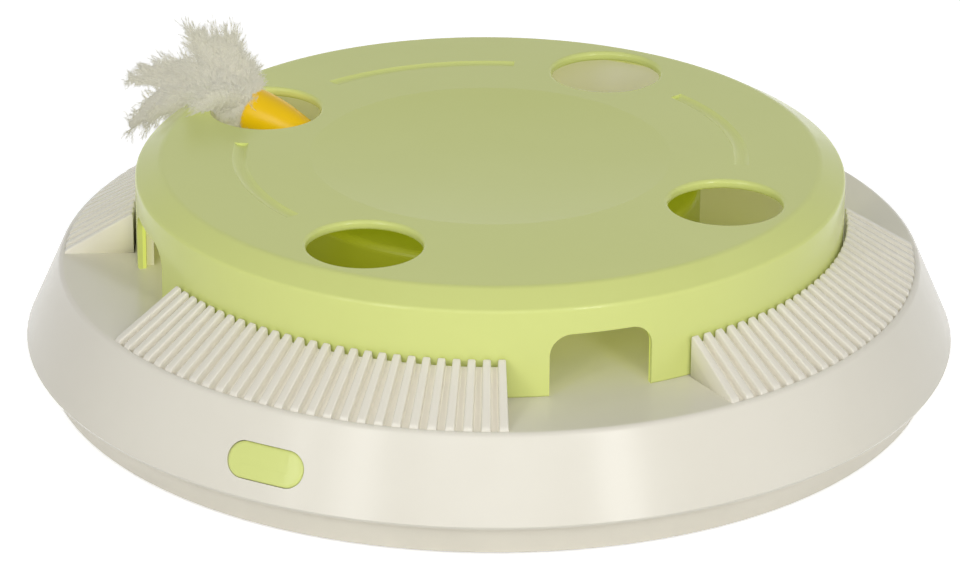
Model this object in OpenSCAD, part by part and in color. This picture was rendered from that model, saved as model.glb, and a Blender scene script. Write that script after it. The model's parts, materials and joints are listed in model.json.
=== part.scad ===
// Rotating feather toy for cats: a low round base with ribbed scratching ramps, a pierced cover
// and a motor-driven rotor that carries a feather round under the cover.
// Millimetres, +Z up. The origin is on the floor, under the middle of the base.

/* [Base] */
// Radius of the base at the lower edge of its skirt
base_r = 140; // [134:0.5:150]
// Height of the skirt's lower edge above the tray's underside
skirt_low = 10.6; // [9:0.1:12]
// Height of the deck above the tray's underside
deck_h = 35.3; // [34:0.1:40]
// How far the skirt leans in between its lower edge and the deck
skirt_lean = 10.9; // [8:0.1:13]
// Wall of the base shell
shell_wall = 2.6; // [2:0.1:3]
// Thickness of the deck
deck_t = 2.6; // [2.2:0.1:3.2]
// Radius of the soft edge round the deck
deck_edge = 2; // [1:0.1:2.5]
// Radius of the tray at its underside
tray_r = 133; // [128:0.5:134]
// Thickness of the tray's floor
tray_floor = 2.6; // [2.2:0.1:3.2]
// Wall of the tray's rim
tray_wall = 2.4; // [2:0.1:3]
// Height of the lip that the tray pushes up inside the skirt
tray_lip = 5; // [3:0.5:7]

/* [Feet] */
// How far the rubber feet stand below the tray
foot_proud = 1; // [0.6:0.1:2]
// Radius of a rubber foot
foot_r = 7; // [5:0.5:9]
// How deep a foot sits in the tray
foot_inset = 0.8; // [0.5:0.1:1]
// Radius of the circle that the feet stand on
foot_ring = 108; // [100:1:112]
// Number of feet
foot_count = 4; // [3:1:4]

/* [Cover] */
// Outer radius of the cover's wall
cover_r = 106.1; // [102:0.1:108]
// Wall of the cover
cover_wall = 2.5; // [2:0.1:3]
// Height of the cover's top above the deck
cover_h = 31.1; // [30:0.1:36]
// Thickness of the cover's top plate
plate_t = 3; // [2.4:0.1:3.4]
// How far the bevel falls from the top
bevel_drop = 4.4; // [3:0.1:6]
// How far the bevel runs in from the wall
bevel_run = 7.6; // [5:0.1:9]
// Radius of the soft edge between the top and the bevel
top_edge = 4; // [2:0.1:5]
// Radius of the soft edge between the bevel and the wall
bevel_edge = 1.5; // [0.8:0.1:2]
// Radius of a hole in the top
hole_r = 16.8; // [15:0.1:18]
// Radius of the circle that the holes stand on
hole_ring = 77.5; // [76:0.1:80]
// Radius of a hole's soft rim
hole_rim = 1.2; // [0.6:0.1:1.4]
// Radius of the shallow bowl in the middle of the top
dish_r = 54; // [44:0.5:58]
// Depth of the bowl
dish_depth = 2.5; // [1.5:0.1:3]
// Radius of the middle of the curved grooves in the top
groove_ring = 75; // [70:0.5:80]
// Width of a groove
groove_w = 4.4; // [3:0.1:5]
// Depth of a groove
groove_depth = 0.8; // [0.5:0.1:1.4]
// Angle that a groove covers
groove_span = 46; // [30:1:50]
// Width of an archway in the wall
arch_w = 30.4; // [26:0.2:34]
// Height of an archway above the deck
arch_h = 18.9; // [15:0.1:20]
// Radius of an archway's upper corners
arch_corner = 6.4; // [3:0.1:9]

/* [Ramps] */
// Angle that one ribbed ramp covers
ramp_span = 60; // [50:1:62]
// Height of the ribs above the deck at the cover
ramp_rise = 13; // [10:0.1:14]
// Gap between the ramps and the cover's wall
ramp_gap = 0.9; // [0.6:0.1:1.5]
// Width of the deck's rim outside the ramps
ramp_rim = 1.4; // [1:0.1:2.5]
// Depth of the pocket in the deck that a ramp sits in
ramp_pocket = 3; // [2.6:0.1:3.4]
// Skin of a ramp
ramp_skin = 1.8; // [1.4:0.1:2.2]
// Number of ribs on a ramp
rib_count = 27; // [15:1:29]
// Width of a rib at the cover
rib_w = 2.2; // [1.6:0.05:2.5]
// Height of a rib
rib_h = 2.8; // [2:0.1:3]
// Radius of a ramp's pegs
peg_r = 2; // [1.5:0.1:2.5]

/* [Button] */
// Width of the button's hole in the skirt
btn_w = 24.6; // [20:0.2:28]
// Height of the button's hole along the skirt
btn_h = 10.8; // [9:0.1:12]
// Height of the button's middle above the tray's underside
btn_mid = 21; // [20:0.1:22]
// Gap round the button
btn_gap = 0.25; // [0.2:0.05:0.5]
// How far the button stands out of the skirt
btn_proud = 0.3; // [0.2:0.1:1]
// How far the button goes in
btn_travel = 0.8; // [0.5:0.1:1]
// Depth of the control board behind the skirt's face
board_depth = 16; // [15:0.5:17]
// Width of the control board
board_w = 44; // [42:0.5:48]
// Height of the control board
board_d = 18; // [16:0.5:19]
// Thickness of the control board
board_t = 1.6; // [1:0.1:2]

/* [Power] */
// Radius of a battery cell
cell_r = 7.1; // [6.8:0.05:7.25]
// Length of a battery cell without its button
cell_len = 49; // [48:0.1:49.5]
// Distance between neighbouring cells
cell_pitch = 15; // [14.8:0.1:16]
// Number of cells
cell_count = 3; // [2:1:3]
// Distance of the battery bay's middle from the toy's axis
bay_y = 72; // [70:0.5:76]
// Wall of the battery bay
bay_wall = 1.8; // [1.4:0.1:2.2]
// Thickness of the battery door
door_t = 1.8; // [1.4:0.1:2.2]
// Width of the ledge that the battery door closes against
door_ledge = 3; // [2.5:0.1:4]
// Room at each end of the cells for the contacts
contact_room = 5; // [4.5:0.1:6]
// Radius of the wires
wire_r = 0.7; // [0.5:0.05:0.8]

/* [Drive] */
// Module of the gears
gear_m = 0.6; // [0.55:0.01:0.62]
// Teeth of each pinion
pinion_teeth = 12; // [12:1:14]
// Teeth of the first and second wheels
wheel_teeth = 48; // [40:1:50]
// Teeth of the output gear
output_teeth = 60; // [56:1:64]
// Face width of a gear
gear_t = 2.8; // [2.4:0.1:3]
// Clear height between the gear levels
gear_gap = 0.4; // [0.3:0.05:0.5]
// Tooth thinning that gives the gears their play
backlash = 0.12; // [0.08:0.01:0.2]
// Thickness of the gearbox plates
frame_t = 2; // [1.6:0.1:2.4]
// Radius of the gear pins
pin_r = 1.5; // [1.2:0.05:1.6]
// Radius of the output shaft in the gearbox
shaft_r = 3; // [2.8:0.05:3.2]
// Radius of the output shaft above the gearbox
neck_r = 2.4; // [2:0.05:2.6]
// Radius of the motor's can
motor_r = 12.2; // [11:0.1:12.5]
// Length of the motor's can
motor_len = 10.3; // [10:0.1:11]
// Radius of the motor's shaft
motor_shaft_r = 1; // [0.8:0.05:1.2]

/* [Rotor] */
// Radius of the rotor drum
drum_r = 63; // [54:0.1:64]
// Wall of the rotor drum
drum_wall = 2.2; // [1.8:0.1:2.6]
// Clear height between the drum and the cover above it
drum_gap = 1.3; // [1:0.1:1.6]
// Radius of the drum's soft upper edge
drum_edge = 2.5; // [1:0.1:3]
// Direction of the feather's wand
wand_dir = 132; // [130:0.5:135]
// Upward pitch of the wand
wand_pitch = 11.5; // [9:0.5:12]
// Distance of the wand's middle below the cover's plate at the hole's inner edge
wand_drop = 5.6; // [5.4:0.1:6.4]
// Radius of the wand's steel core
core_r = 1.2; // [0.8:0.05:1.5]
// Length of the yellow sleeve
sleeve_len = 20; // [16:0.5:28]
// Radius of the sleeve at the drum
sleeve_r_in = 4.2; // [3.6:0.1:4.3]
// Radius of the sleeve at the feather
sleeve_r_out = 6.6; // [5:0.1:6.8]

/* [Fits] */
// Clearance between pieces that lie against each other
fit_gap = 0.3; // [0.2:0.05:0.4]
// Radial clearance of a turning fit
run_gap = 0.05; // [0.03:0.01:0.08]
// Radial clearance of a pin or screw that is held fast
hold_gap = 0.02; // [0.01:0.01:0.04]

/* [Screws] */
// Radius of the case screws
screw_r = 1.5; // [1.3:0.05:1.7]
// Radius of a screw head
head_r = 2.8; // [2.5:0.1:3]
// Height of a screw head
head_h = 1.5; // [1.2:0.1:1.7]
// Radius of a post that takes a case screw
post_r = 4; // [3.6:0.1:4.5]
// Radius of the circle that the case screws stand on
post_ring = 116; // [113:0.5:118]
// Number of case screws
post_count = 6; // [4:1:6]

/* [Hidden] */

$fn = 96;
base_colour = [0.91, 0.90, 0.85];
tray_colour = [0.83, 0.82, 0.76];
cover_colour = [0.80, 0.84, 0.50];
rotor_colour = [0.66, 0.70, 0.28];
sleeve_colour = [0.90, 0.72, 0.02];
plume_colour = [0.94, 0.93, 0.88];
steel_colour = [0.70, 0.71, 0.73];
brass_colour = [0.78, 0.66, 0.36];
gear_colour = [0.92, 0.92, 0.90];
board_colour = [0.16, 0.42, 0.24];
black_colour = [0.12, 0.12, 0.13];
cell_colour = [0.25, 0.27, 0.30];
lead_colour = [0.75, 0.16, 0.14];

// Extra length of a cutter past the face that it opens
cut = 1;
// How far a piece of a solid reaches into its neighbour to be one with it
weld = 0.4;
// Steps of an arc in a turned outline, and of a soft edge that catches the light
arc_steps = 5;
soft_steps = 7;

// Heights
z_tray = foot_proud;
z_floor = z_tray + tray_floor;
z_skirt = z_tray + skirt_low;
z_deck = z_tray + deck_h;
z_under_deck = z_deck - deck_t;
z_top = z_deck + cover_h;
z_plate = z_top - plate_t;
z_dish = z_plate - dish_depth;
top_r = cover_r - bevel_run;
z_bevel = z_top - bevel_drop;
z_btn = z_tray + btn_mid;

// The skirt's cone
lean = skirt_lean / (deck_h - skirt_low);
skirt_angle = atan(lean);
wall_across = shell_wall / cos(skirt_angle);
function skirt_at(z) = base_r - lean * (z - z_skirt);
function skirt_in_at(z) = skirt_at(z) - wall_across;
deck_r = skirt_at(z_deck);
skirt_edge = 0.9;

// Directions round the toy
arch_dirs = [0, 90, 180, 270];
groove_dirs = [0, 90, 180];
ramp_back_right_dir = 45;
ramp_back_left_dir = 135;
ramp_front_left_dir = 225;
ramp_front_right_dir = 315;
ramp_dirs = [ramp_back_right_dir, ramp_back_left_dir, ramp_front_left_dir, ramp_front_right_dir];
btn_dir = ramp_front_left_dir;
post_first = 15;
foot_first = 0;

// The deck's ring under the ramps, and the inner walls that the cover stands round
ring_floor = 2.2;
z_pocket = z_deck - ramp_pocket;
z_ring = z_pocket - ring_floor;
cover_in = cover_r - cover_wall;
liner_t = 2.2;
liner_out = cover_in - fit_gap;
liner_in = liner_out - liner_t;
z_liner = z_bevel - cover_wall / 2 - fit_gap;
arch_half = asin(arch_w / 2 / cover_r);
liner_margin = 1.5;
liner_span = 90 - 2 * (arch_half + liner_margin);
ring_in = liner_in - shell_wall;

// The ramps
ramp_in = cover_r + ramp_gap;
ramp_out = deck_r - ramp_rim;
ramp_fall = ramp_rise / (deck_r - ramp_in);
z_ramp_floor = z_pocket + fit_gap / 2;
function rib_top(r) = z_deck + ramp_fall * (deck_r - r);
function valley(r) = rib_top(r) - rib_h;
pocket_span = ramp_span + fit_gap / ramp_in * 180 / PI;
peg_ring = (ramp_in + ramp_out) / 2;
peg_margin = 6;
peg_turn = ramp_span / 2 - peg_margin;

// Screws and posts
screw_gap = 0.15;
post_foot = 3;
z_post = z_floor + post_foot;
pilot_depth = 12;
head_room = 0.2;
head_sink = head_h + head_room;

// The battery bay
nub_len = 1.3;
nub_r = 2.7;
bay_l = cell_len + 2 * contact_room;
bay_w = cell_count * cell_pitch + 2 * fit_gap;
z_door = z_tray + fit_gap;
z_door_top = z_door + door_t;
z_cell = z_door_top + fit_gap + cell_r;
z_bay = z_cell + cell_r + fit_gap;
bay_x0 = -bay_l / 2;
tab_l = 9;
frame_h = 3;
door_screw_x = bay_l / 2 + door_ledge + tab_l / 2;
cell_ys = [for (i = [0 : cell_count - 1]) bay_y + (i - (cell_count - 1) / 2) * cell_pitch];
contact_t = 0.5;
spring_wire = 0.35;
spring_turns = 3;
spring_r_wide = 4.6;
spring_r_narrow = 3;
cell_x0 = bay_x0 + contact_room;

// The gear train, from the output gear on the toy's axis back to the motor
gear_angle = 25;
tooth_add = 0.8;
tooth_ded = 1.05;
flank_steps = 4;
function pitch_r(teeth) = gear_m * teeth / 2;
function tip_r(teeth) = pitch_r(teeth) + tooth_add * gear_m;
output_line = -30;
second_line = -90;
first_line = -150;
function step(from, reach, dir) = from + reach * [cos(dir), sin(dir)];
output_at = [0, 0];
second_at = step(output_at, pitch_r(output_teeth) + pitch_r(pinion_teeth), output_line);
first_at = step(second_at, pitch_r(wheel_teeth) + pitch_r(pinion_teeth), second_line);
motor_at = step(first_at, pitch_r(wheel_teeth) + pitch_r(pinion_teeth), first_line);

motor_cap_t = 2;
motor_skin = 0.8;
nose_r = 3.5;
nose_h = 1.4;
z_motor = z_floor + fit_gap;
z_can = z_motor + motor_cap_t + hold_gap;
z_lower = z_can + motor_len + hold_gap;
z_lower_top = z_lower + frame_t;
plate_clear = 0.5;
z_level_a = z_lower_top + plate_clear;
z_level_b = z_level_a + gear_t + gear_gap;
z_level_c = z_level_b + gear_t + gear_gap;
z_upper = z_level_c + gear_t + plate_clear;
z_upper_top = z_upper + frame_t;
hub_r = 2.6;

// The gearbox plates reach past the gears and the motor
frame_margin = 6;
corner_r = 4.5;
frame_x0 = min(-tip_r(output_teeth), motor_at[0] - motor_r) - frame_margin;
frame_x1 = second_at[0] + tip_r(wheel_teeth) + frame_margin;
frame_y0 = min(motor_at[1] - motor_r, first_at[1] - tip_r(wheel_teeth)) - frame_margin;
frame_y1 = tip_r(output_teeth) + frame_margin;
frame_corners = [
    for (x = [frame_x0 + corner_r, frame_x1 - corner_r])
        for (y = [frame_y0 + corner_r, frame_y1 - corner_r]) [x, y]
];
spacer_r = 3.2;
frame_screw_reach = 6;
mount_screw_reach = 7;
small_screw_r = 1;
small_head_r = 1.8;
small_head_h = 0.9;
motor_screw_ring = 6;
motor_screw_reach = 0.7;

// The output shaft, its bush and the rotor
collar_r = 5;
z_shaft = z_lower - weld;
z_collar = z_lower_top + fit_gap;
z_collar_top = z_level_c - hold_gap;
z_shoulder = z_level_c + gear_t + weld;
flat_share = 0.8;
shaft_flat = shaft_r * flat_share;
neck_flat = neck_r * flat_share;
bush_r = 5;
bush_flange_r = 7.5;
bush_flange_t = 0.8;
boss_wall = 2.4;
z_boss = z_upper_top + fit_gap;
z_drum_top = z_dish - drum_gap;
drum_lift = 0.7;
z_drum = z_deck + bush_flange_t + drum_lift;
hub_boss_r = 8;
hub_web = 2;
z_rotor_seat = z_drum_top - head_h - fit_gap;
z_shaft_top = z_rotor_seat - hub_web - fit_gap;
neck_key = 10;
rotor_screw_reach = 8;

// The wand
wand_at = hole_ring - hole_r + fit_gap;
z_wand = z_plate - wand_drop;
socket_r = 4.4;
socket_back = 11;
socket_proud = 1.2;
socket_end = (drum_r + socket_proud - wand_at) / cos(wand_pitch);
sleeve_start = socket_end + fit_gap;
sleeve_end = sleeve_start + sleeve_len;
quill_len = 3;
core_grip = 9;
core_start = socket_end - core_grip;
core_end = sleeve_end - quill_len - fit_gap;

// A point r out and turned by a
function polar(r, a) = [r * cos(a), r * sin(a)];

// Points of an arc about a centre
function arc(centre, r, from, to, steps = arc_steps) =
    [for (i = [0 : steps]) centre + polar(r, from + (to - from) * i / steps)];

function unit(v) = v / norm(v);

// Turned solid between two radii and two heights
module tube(r_in, r_out, z0, z1) {
    difference() {
        translate([0, 0, z0]) cylinder(r = r_out, h = z1 - z0);
        translate([0, 0, z0 - cut]) cylinder(r = r_in, h = z1 - z0 + 2 * cut);
    }
}

module disc(r, z0, z1) {
    translate([0, 0, z0]) cylinder(r = r, h = z1 - z0);
}

// Copies of a piece on a circle
module on_circle(count, r, first) {
    for (i = [0 : count - 1])
        rotate([0, 0, first + i * 360 / count])
            translate([r, 0, 0])
                children();
}

// Copies of a piece at the gearbox's corners
module at_corners() {
    for (p = frame_corners)
        translate([p[0], p[1], 0])
            children();
}

module at(p) {
    translate([p[0], p[1], 0])
        children();
}

// A solid of revolution that covers only an angle, centred on the X direction
module swept_sector(span, outline) {
    rotate([0, 0, -span / 2])
        rotate_extrude(angle = span)
            polygon(outline);
}

// The button's frame: Z is out of the skirt, X down its slope and Y round it
module on_skirt() {
    rotate([0, 0, btn_dir])
        translate([skirt_at(z_btn), 0, z_btn])
            rotate([0, 90 - skirt_angle, 0])
                children();
}

// The wand's frame: Z runs out along the wand
module on_wand() {
    rotate([0, 0, wand_dir])
        translate([wand_at, 0, z_wand])
            rotate([0, 90 - wand_pitch, 0])
                children();
}

module pill(w, h) {
    square([h, w - h], center = true);
    for (side = [-1, 1])
        translate([0, side * (w - h) / 2])
            circle(d = h);
}

module round_plate(x0, x1, y0, y1, r) {
    translate([x0 + r, y0]) square([x1 - x0 - 2 * r, y1 - y0]);
    translate([x0, y0 + r]) square([x1 - x0, y1 - y0 - 2 * r]);
    for (x = [x0 + r, x1 - r])
        for (y = [y0 + r, y1 - r])
            translate([x, y]) circle(r = r);
}

// A screw that stands on its head at z = 0 and points up
module screw_up(r, reach, big_r, big_h) {
    disc(big_r, 0, big_h);
    disc(r, big_h - weld, big_h + reach);
}

// Involute gear outline with a tooth along +X
function involute(base, r) = r <= base ? 0 : tan(acos(base / r)) * 180 / PI - acos(base / r);

function gear_outline(teeth) =
    let (
        rp = pitch_r(teeth),
        base = rp * cos(gear_angle),
        root = rp - tooth_ded * gear_m,
        start = max(base, root),
        tip = tip_r(teeth),
        half = 90 / teeth - backlash / 2 / rp * 180 / PI + involute(base, rp),
        flank = [for (i = [0 : flank_steps]) start + (tip - start) * i / flank_steps],
        radii = root < start ? concat([root], flank) : flank,
        last = len(radii) - 1
    )
    [
        for (tooth = [0 : teeth - 1])
            let (mid = 360 * tooth / teeth)
                each concat(
                    [for (r = radii) polar(r, mid - half + involute(base, r))],
                    [for (i = [last : -1 : 0]) polar(radii[i], mid + half - involute(base, radii[i]))]
                )
    ];

// A gear whose tooth, or gap, points along a direction
module toothed(teeth, dir, gap_there = false) {
    rotate([0, 0, dir + (gap_there ? 180 / teeth : 0)])
        linear_extrude(height = gear_t)
            polygon(gear_outline(teeth));
}

// Tube along points, with rings that turn as little as possible from one to the next
module tube_along(points, r, sides = 8) {
    count = len(points);
    tangents = [
        for (i = [0 : count - 1])
            unit(points[min(i + 1, count - 1)] - points[max(i - 1, 0)])
    ];
    side = abs(tangents[0][2]) < 0.9 ? [0, 0, 1] : [1, 0, 0];
    normals = [
        for (
            i = 0, n = unit(side - (side * tangents[0]) * tangents[0]);
            i < count;
            i = i + 1,
            n = i < count ? unit(n - (n * tangents[i]) * tangents[i]) : n
        ) n
    ];
    rings = [
        for (i = [0 : count - 1])
            for (k = [0 : sides - 1])
                points[i]
                    + r * cos(360 * k / sides) * normals[i]
                    + r * sin(360 * k / sides) * cross(tangents[i], normals[i])
    ];
    skin(rings, count, sides);
}

// Closed skin of triangles over rings that all have as many points
module skin(rings, count, sides) {
    last = (count - 1) * sides;
    walls = [
        for (i = [0 : count - 2])
            for (k = [0 : sides - 1])
                let (
                    a = i * sides + k,
                    b = i * sides + (k + 1) % sides,
                    c = a + sides,
                    d = b + sides
                )
                each [[a, c, b], [b, c, d]]
    ];
    near_end = [for (k = [1 : sides - 2]) [0, k, k + 1]];
    far_end = [for (k = [1 : sides - 2]) [last, last + k + 1, last + k]];
    polyhedron(points = rings, faces = concat(walls, near_end, far_end));
}

// Round route through points chosen by hand
route_steps = 6;
function spline(p0, p1, p2, p3, t) =
    0.5 * (2 * p1 + (p2 - p0) * t + (2 * p0 - 5 * p1 + 4 * p2 - p3) * t * t
        + (3 * p1 - p0 - 3 * p2 + p3) * t * t * t);
function route(p) =
    let (last = len(p) - 1)
    [
        each [
            for (i = [0 : last - 1])
                for (k = [0 : route_steps - 1])
                    spline(p[max(i - 1, 0)], p[i], p[i + 1], p[min(i + 2, last)], k / route_steps)
        ],
        p[last]
    ];

// Turned outline of the tray: floor, flaring rim and the lip inside the skirt
function rim_at(z) = skirt_in_at(z) - fit_gap;
tray_edge = 1.2;
z_lip = z_skirt + tray_lip;
tray_outline = [
    [0, z_tray],
    each arc([tray_r - tray_edge, z_tray + tray_edge], tray_edge, -90, 0, 3),
    [rim_at(z_skirt), z_skirt],
    [rim_at(z_lip), z_lip],
    [rim_at(z_lip) - tray_wall, z_lip],
    [rim_at(z_skirt) - tray_wall, z_skirt],
    [tray_r - tray_wall, z_floor],
    [0, z_floor]
];

// The battery bay's outside: a frame round the door and a box round the cells
module bay_box(margin, l_more, z0, z1) {
    translate([bay_x0 - margin, bay_y - bay_w / 2 - margin, z0])
        cube([bay_l + 2 * margin + l_more, bay_w + 2 * margin, z1 - z0]);
}

module bottom_tray() {
    color(tray_colour)
    difference() {
        union() {
            rotate_extrude() polygon(tray_outline);
            bay_box(door_ledge + bay_wall, tab_l, z_tray, z_door_top + frame_h);
            bay_box(bay_wall, 0, z_tray, z_bay + bay_wall);
            on_circle(post_count, post_ring, post_first) disc(post_r, z_floor - weld, z_post);
            at([door_screw_x, bay_y]) disc(post_r, z_floor, z_door_top + pilot_depth);
        }
        bay_box(0, 0, z_tray - cut, z_bay);
        bay_box(door_ledge, tab_l, z_tray - cut, z_door_top + fit_gap);
        at([door_screw_x, bay_y]) disc(screw_r + hold_gap, z_tray, z_door_top + pilot_depth - bay_wall);
        on_circle(post_count, post_ring, post_first) {
            disc(screw_r + screw_gap, z_tray - cut, z_post + cut);
            disc(head_r + screw_gap, z_tray - cut, z_tray + head_sink);
        }
        at_corners() {
            disc(screw_r + screw_gap, z_tray - cut, z_floor + cut);
            disc(head_r + screw_gap, z_tray - cut, z_tray + foot_inset);
        }
        on_circle(foot_count, foot_ring, foot_first)
            disc(foot_r + fit_gap / 2, z_tray - cut, z_tray + foot_inset);
        button_notch();
    }
}

// Notch in the tray's lip that the button's flange moves in
module button_notch() {
    half_w = btn_w / 2 + flange_more + fit_gap;
    half_h = btn_h / 2 + flange_more + fit_gap;
    on_skirt()
        translate([-half_h - tray_lip, -half_w, -board_depth])
            cube([2 * half_h + tray_lip, 2 * half_w, board_depth]);
}

// Turned outline of the shell: skirt, soft edge, deck, bush boss and the thick ring under the ramps
edge_at = [skirt_at(z_deck - deck_edge) - deck_edge / cos(skirt_angle), z_deck - deck_edge];
shell_outline = [
    [skirt_in_at(z_skirt), z_skirt],
    [base_r - skirt_edge, z_skirt],
    [skirt_at(z_skirt + skirt_edge), z_skirt + skirt_edge],
    each arc(edge_at, deck_edge, skirt_angle, 90, soft_steps),
    [bush_r + hold_gap, z_deck],
    [bush_r + hold_gap, z_boss],
    [bush_r + boss_wall, z_boss],
    [bush_r + boss_wall, z_under_deck],
    [ring_in, z_under_deck],
    [ring_in, z_ring],
    [skirt_in_at(z_ring), z_ring]
];

// Posts behind the button that carry the control board
board_post_r = 2.6;
board_post_y = board_w / 2 - 3.5;
skirt_bend_r = skirt_at(z_btn) / cos(skirt_angle);
function sag(y) = y * y / 2 / skirt_bend_r;

module base_shell() {
    color(base_colour)
    difference() {
        union() {
            rotate_extrude() polygon(shell_outline);
            for (dir = ramp_dirs)
                rotate([0, 0, dir])
                    swept_sector(liner_span, [
                        [liner_in, z_deck - weld], [liner_out, z_deck - weld],
                        [liner_out, z_liner], [liner_in, z_liner]
                    ]);
            on_circle(post_count, post_ring, post_first)
                disc(post_r, z_post + hold_gap, z_ring + weld);
            on_skirt()
                for (side = [-1, 1])
                    translate([0, side * board_post_y, 0])
                        disc(board_post_r, hold_gap - board_depth, -shell_wall / 2 - sag(board_post_y));
        }
        for (dir = ramp_dirs)
            rotate([0, 0, dir]) {
                swept_sector(pocket_span, [
                    [ramp_in - fit_gap / 2, z_pocket], [ramp_out + fit_gap / 2, z_pocket],
                    [ramp_out + fit_gap / 2, z_deck + cut], [ramp_in - fit_gap / 2, z_deck + cut]
                ]);
                for (turn = [-peg_turn, peg_turn])
                    rotate([0, 0, turn])
                        translate([peg_ring, 0, 0])
                            disc(peg_r + run_gap, z_ring - cut, z_pocket + cut);
            }
        on_skirt()
            translate([0, 0, -shell_wall * 2])
                linear_extrude(height = shell_wall * 4)
                    pill(btn_w, btn_h);
        on_circle(post_count, post_ring, post_first)
            disc(screw_r + hold_gap, z_post - cut, z_post + pilot_depth);
        on_skirt()
            for (side = [-1, 1])
                translate([0, side * board_post_y, 0])
                    disc(small_screw_r + hold_gap, -board_depth - cut, board_screw_reach + 1 - board_depth);
    }
}

// One ramp: a hollow wedge with radial ribs and two pegs
rib_ease = 0.4;
rib_angle = rib_w / ramp_in * 180 / PI;
module ramp(dir) {
    outer = [
        [ramp_in, z_ramp_floor], [ramp_out, z_ramp_floor],
        [ramp_out, valley(ramp_out)], [ramp_in, valley(ramp_in)]
    ];
    hollow_in = ramp_in + ramp_skin;
    hollow_out = ramp_out - 2 * ramp_skin;
    inner = [
        [hollow_in, z_ramp_floor - cut], [hollow_out, z_ramp_floor - cut],
        [hollow_out, max(valley(hollow_out) - ramp_skin, z_ramp_floor - cut / 2)],
        [hollow_in, valley(hollow_in) - ramp_skin]
    ];
    rib = [
        [ramp_in, valley(ramp_in) - weld], [ramp_out, valley(ramp_out) - weld],
        [ramp_out, rib_top(ramp_out) - rib_ease], [ramp_out - rib_ease, rib_top(ramp_out - rib_ease)],
        [ramp_in + rib_ease, rib_top(ramp_in + rib_ease)], [ramp_in, rib_top(ramp_in) - rib_ease]
    ];
    side_wall = atan(ramp_skin / ramp_in);
    rotate([0, 0, dir]) {
        difference() {
            swept_sector(ramp_span, outer);
            swept_sector(ramp_span - 2 * side_wall, inner);
        }
        for (i = [0 : rib_count - 1])
            rotate([0, 0, (i / (rib_count - 1) - 0.5) * (ramp_span - rib_angle)])
                swept_sector(rib_angle, rib);
        for (turn = [-peg_turn, peg_turn])
            rotate([0, 0, turn])
                translate([peg_ring, 0, 0])
                    disc(peg_r, z_ring + weld, valley(peg_ring + peg_r) - weld);
    }
}

module ramp_back_right() {
    color(base_colour) ramp(ramp_back_right_dir);
}

module ramp_back_left() {
    color(base_colour) ramp(ramp_back_left_dir);
}

module ramp_front_left() {
    color(base_colour) ramp(ramp_front_left_dir);
}

module ramp_front_right() {
    color(base_colour) ramp(ramp_front_right_dir);
}

// The bowl's surface under a height: a parabola, from the middle out
bowl_steps = 14;
function bowl(z) = [
    for (i = [0 : bowl_steps])
        let (share = i / bowl_steps)
            [dish_r * share, z - dish_depth * (1 - share * share)]
];
function reversed(list) = [for (i = [len(list) - 1 : -1 : 0]) list[i]];

// Turned outline of the cover: wall, bevel, flat top and shallow bowl, all of one thickness
cover_foot = 0.5;
z_cover = z_deck + hold_gap;
bevel_angle = atan(bevel_drop / bevel_run);
bevel_turn = 90 - bevel_angle;
bevel_at = [cover_r - bevel_edge, z_bevel - bevel_edge * tan(bevel_turn / 2)];
top_at = [top_r - top_edge * tan(bevel_angle / 2), z_top - top_edge];
cover_outline = [
    [cover_in, z_cover],
    [cover_r - cover_foot, z_cover],
    [cover_r, z_cover + cover_foot],
    each arc(bevel_at, bevel_edge, 0, bevel_turn, soft_steps),
    each arc(top_at, top_edge, bevel_turn, 90, soft_steps),
    each reversed(bowl(z_top)),
    each bowl(z_plate),
    [top_r - cover_wall, z_plate],
    [cover_in, z_bevel - cover_wall / 2]
];

// Cutter of a hole in the top, with soft rims
hole_cutter = [
    [0, z_plate - cut],
    [hole_r + hole_rim, z_plate - cut],
    each arc([hole_r + hole_rim, z_plate + hole_rim], hole_rim, 270, 180, 3),
    each arc([hole_r + hole_rim, z_top - hole_rim], hole_rim, 180, 90, soft_steps),
    [hole_r + hole_rim, z_top + cut],
    [0, z_top + cut]
];

// Cutter of a groove: a shallow round channel, given across its middle
groove_round = (groove_w * groove_w / 4 + groove_depth * groove_depth) / 2 / groove_depth;
groove_half = asin(groove_w / 2 / groove_round);
groove_low = [groove_ring, z_top - groove_depth + groove_round];
groove_cutter = [
    [groove_ring - groove_w / 2, z_top + cut],
    each arc(groove_low, groove_round, 270 - groove_half, 270 + groove_half, soft_steps),
    [groove_ring + groove_w / 2, z_top + cut]
];

module cover() {
    color(cover_colour)
    difference() {
        rotate_extrude() polygon(cover_outline);
        for (dir = ramp_dirs)
            rotate([0, 0, dir])
                translate([hole_ring, 0, 0])
                    rotate_extrude() polygon(hole_cutter);
        for (dir = arch_dirs)
            rotate([0, 0, dir])
                translate([ring_in, 0, z_deck])
                    rotate([90, 0, 90])
                        linear_extrude(height = cover_r - ring_in + cut)
                            arch_shape();
        for (dir = groove_dirs)
            rotate([0, 0, dir])
                swept_sector(groove_span, groove_cutter);
    }
}

// Archway: straight sides and rounded upper corners
module arch_shape() {
    translate([-arch_w / 2, -cut]) square([arch_w, arch_h - arch_corner + cut]);
    translate([-arch_w / 2 + arch_corner, 0]) square([arch_w - 2 * arch_corner, arch_h]);
    for (side = [-1, 1])
        translate([side * (arch_w / 2 - arch_corner), arch_h - arch_corner])
            circle(r = arch_corner);
}

// Depths behind the skirt's face, along the button's way
flange_t = 1.2;
flange_more = 1.2;
flange_depth = shell_wall + sag(btn_w / 2 + flange_more) + fit_gap;
switch_h = 3.5;
switch_w = 6;
plunger_r = 1.7;
plunger_h = 2;
plunger_depth = board_depth - switch_h - plunger_h;
stem_r = 2.2;
button_l = btn_w - 2 * btn_gap;
button_h = btn_h - 2 * btn_gap;

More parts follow.
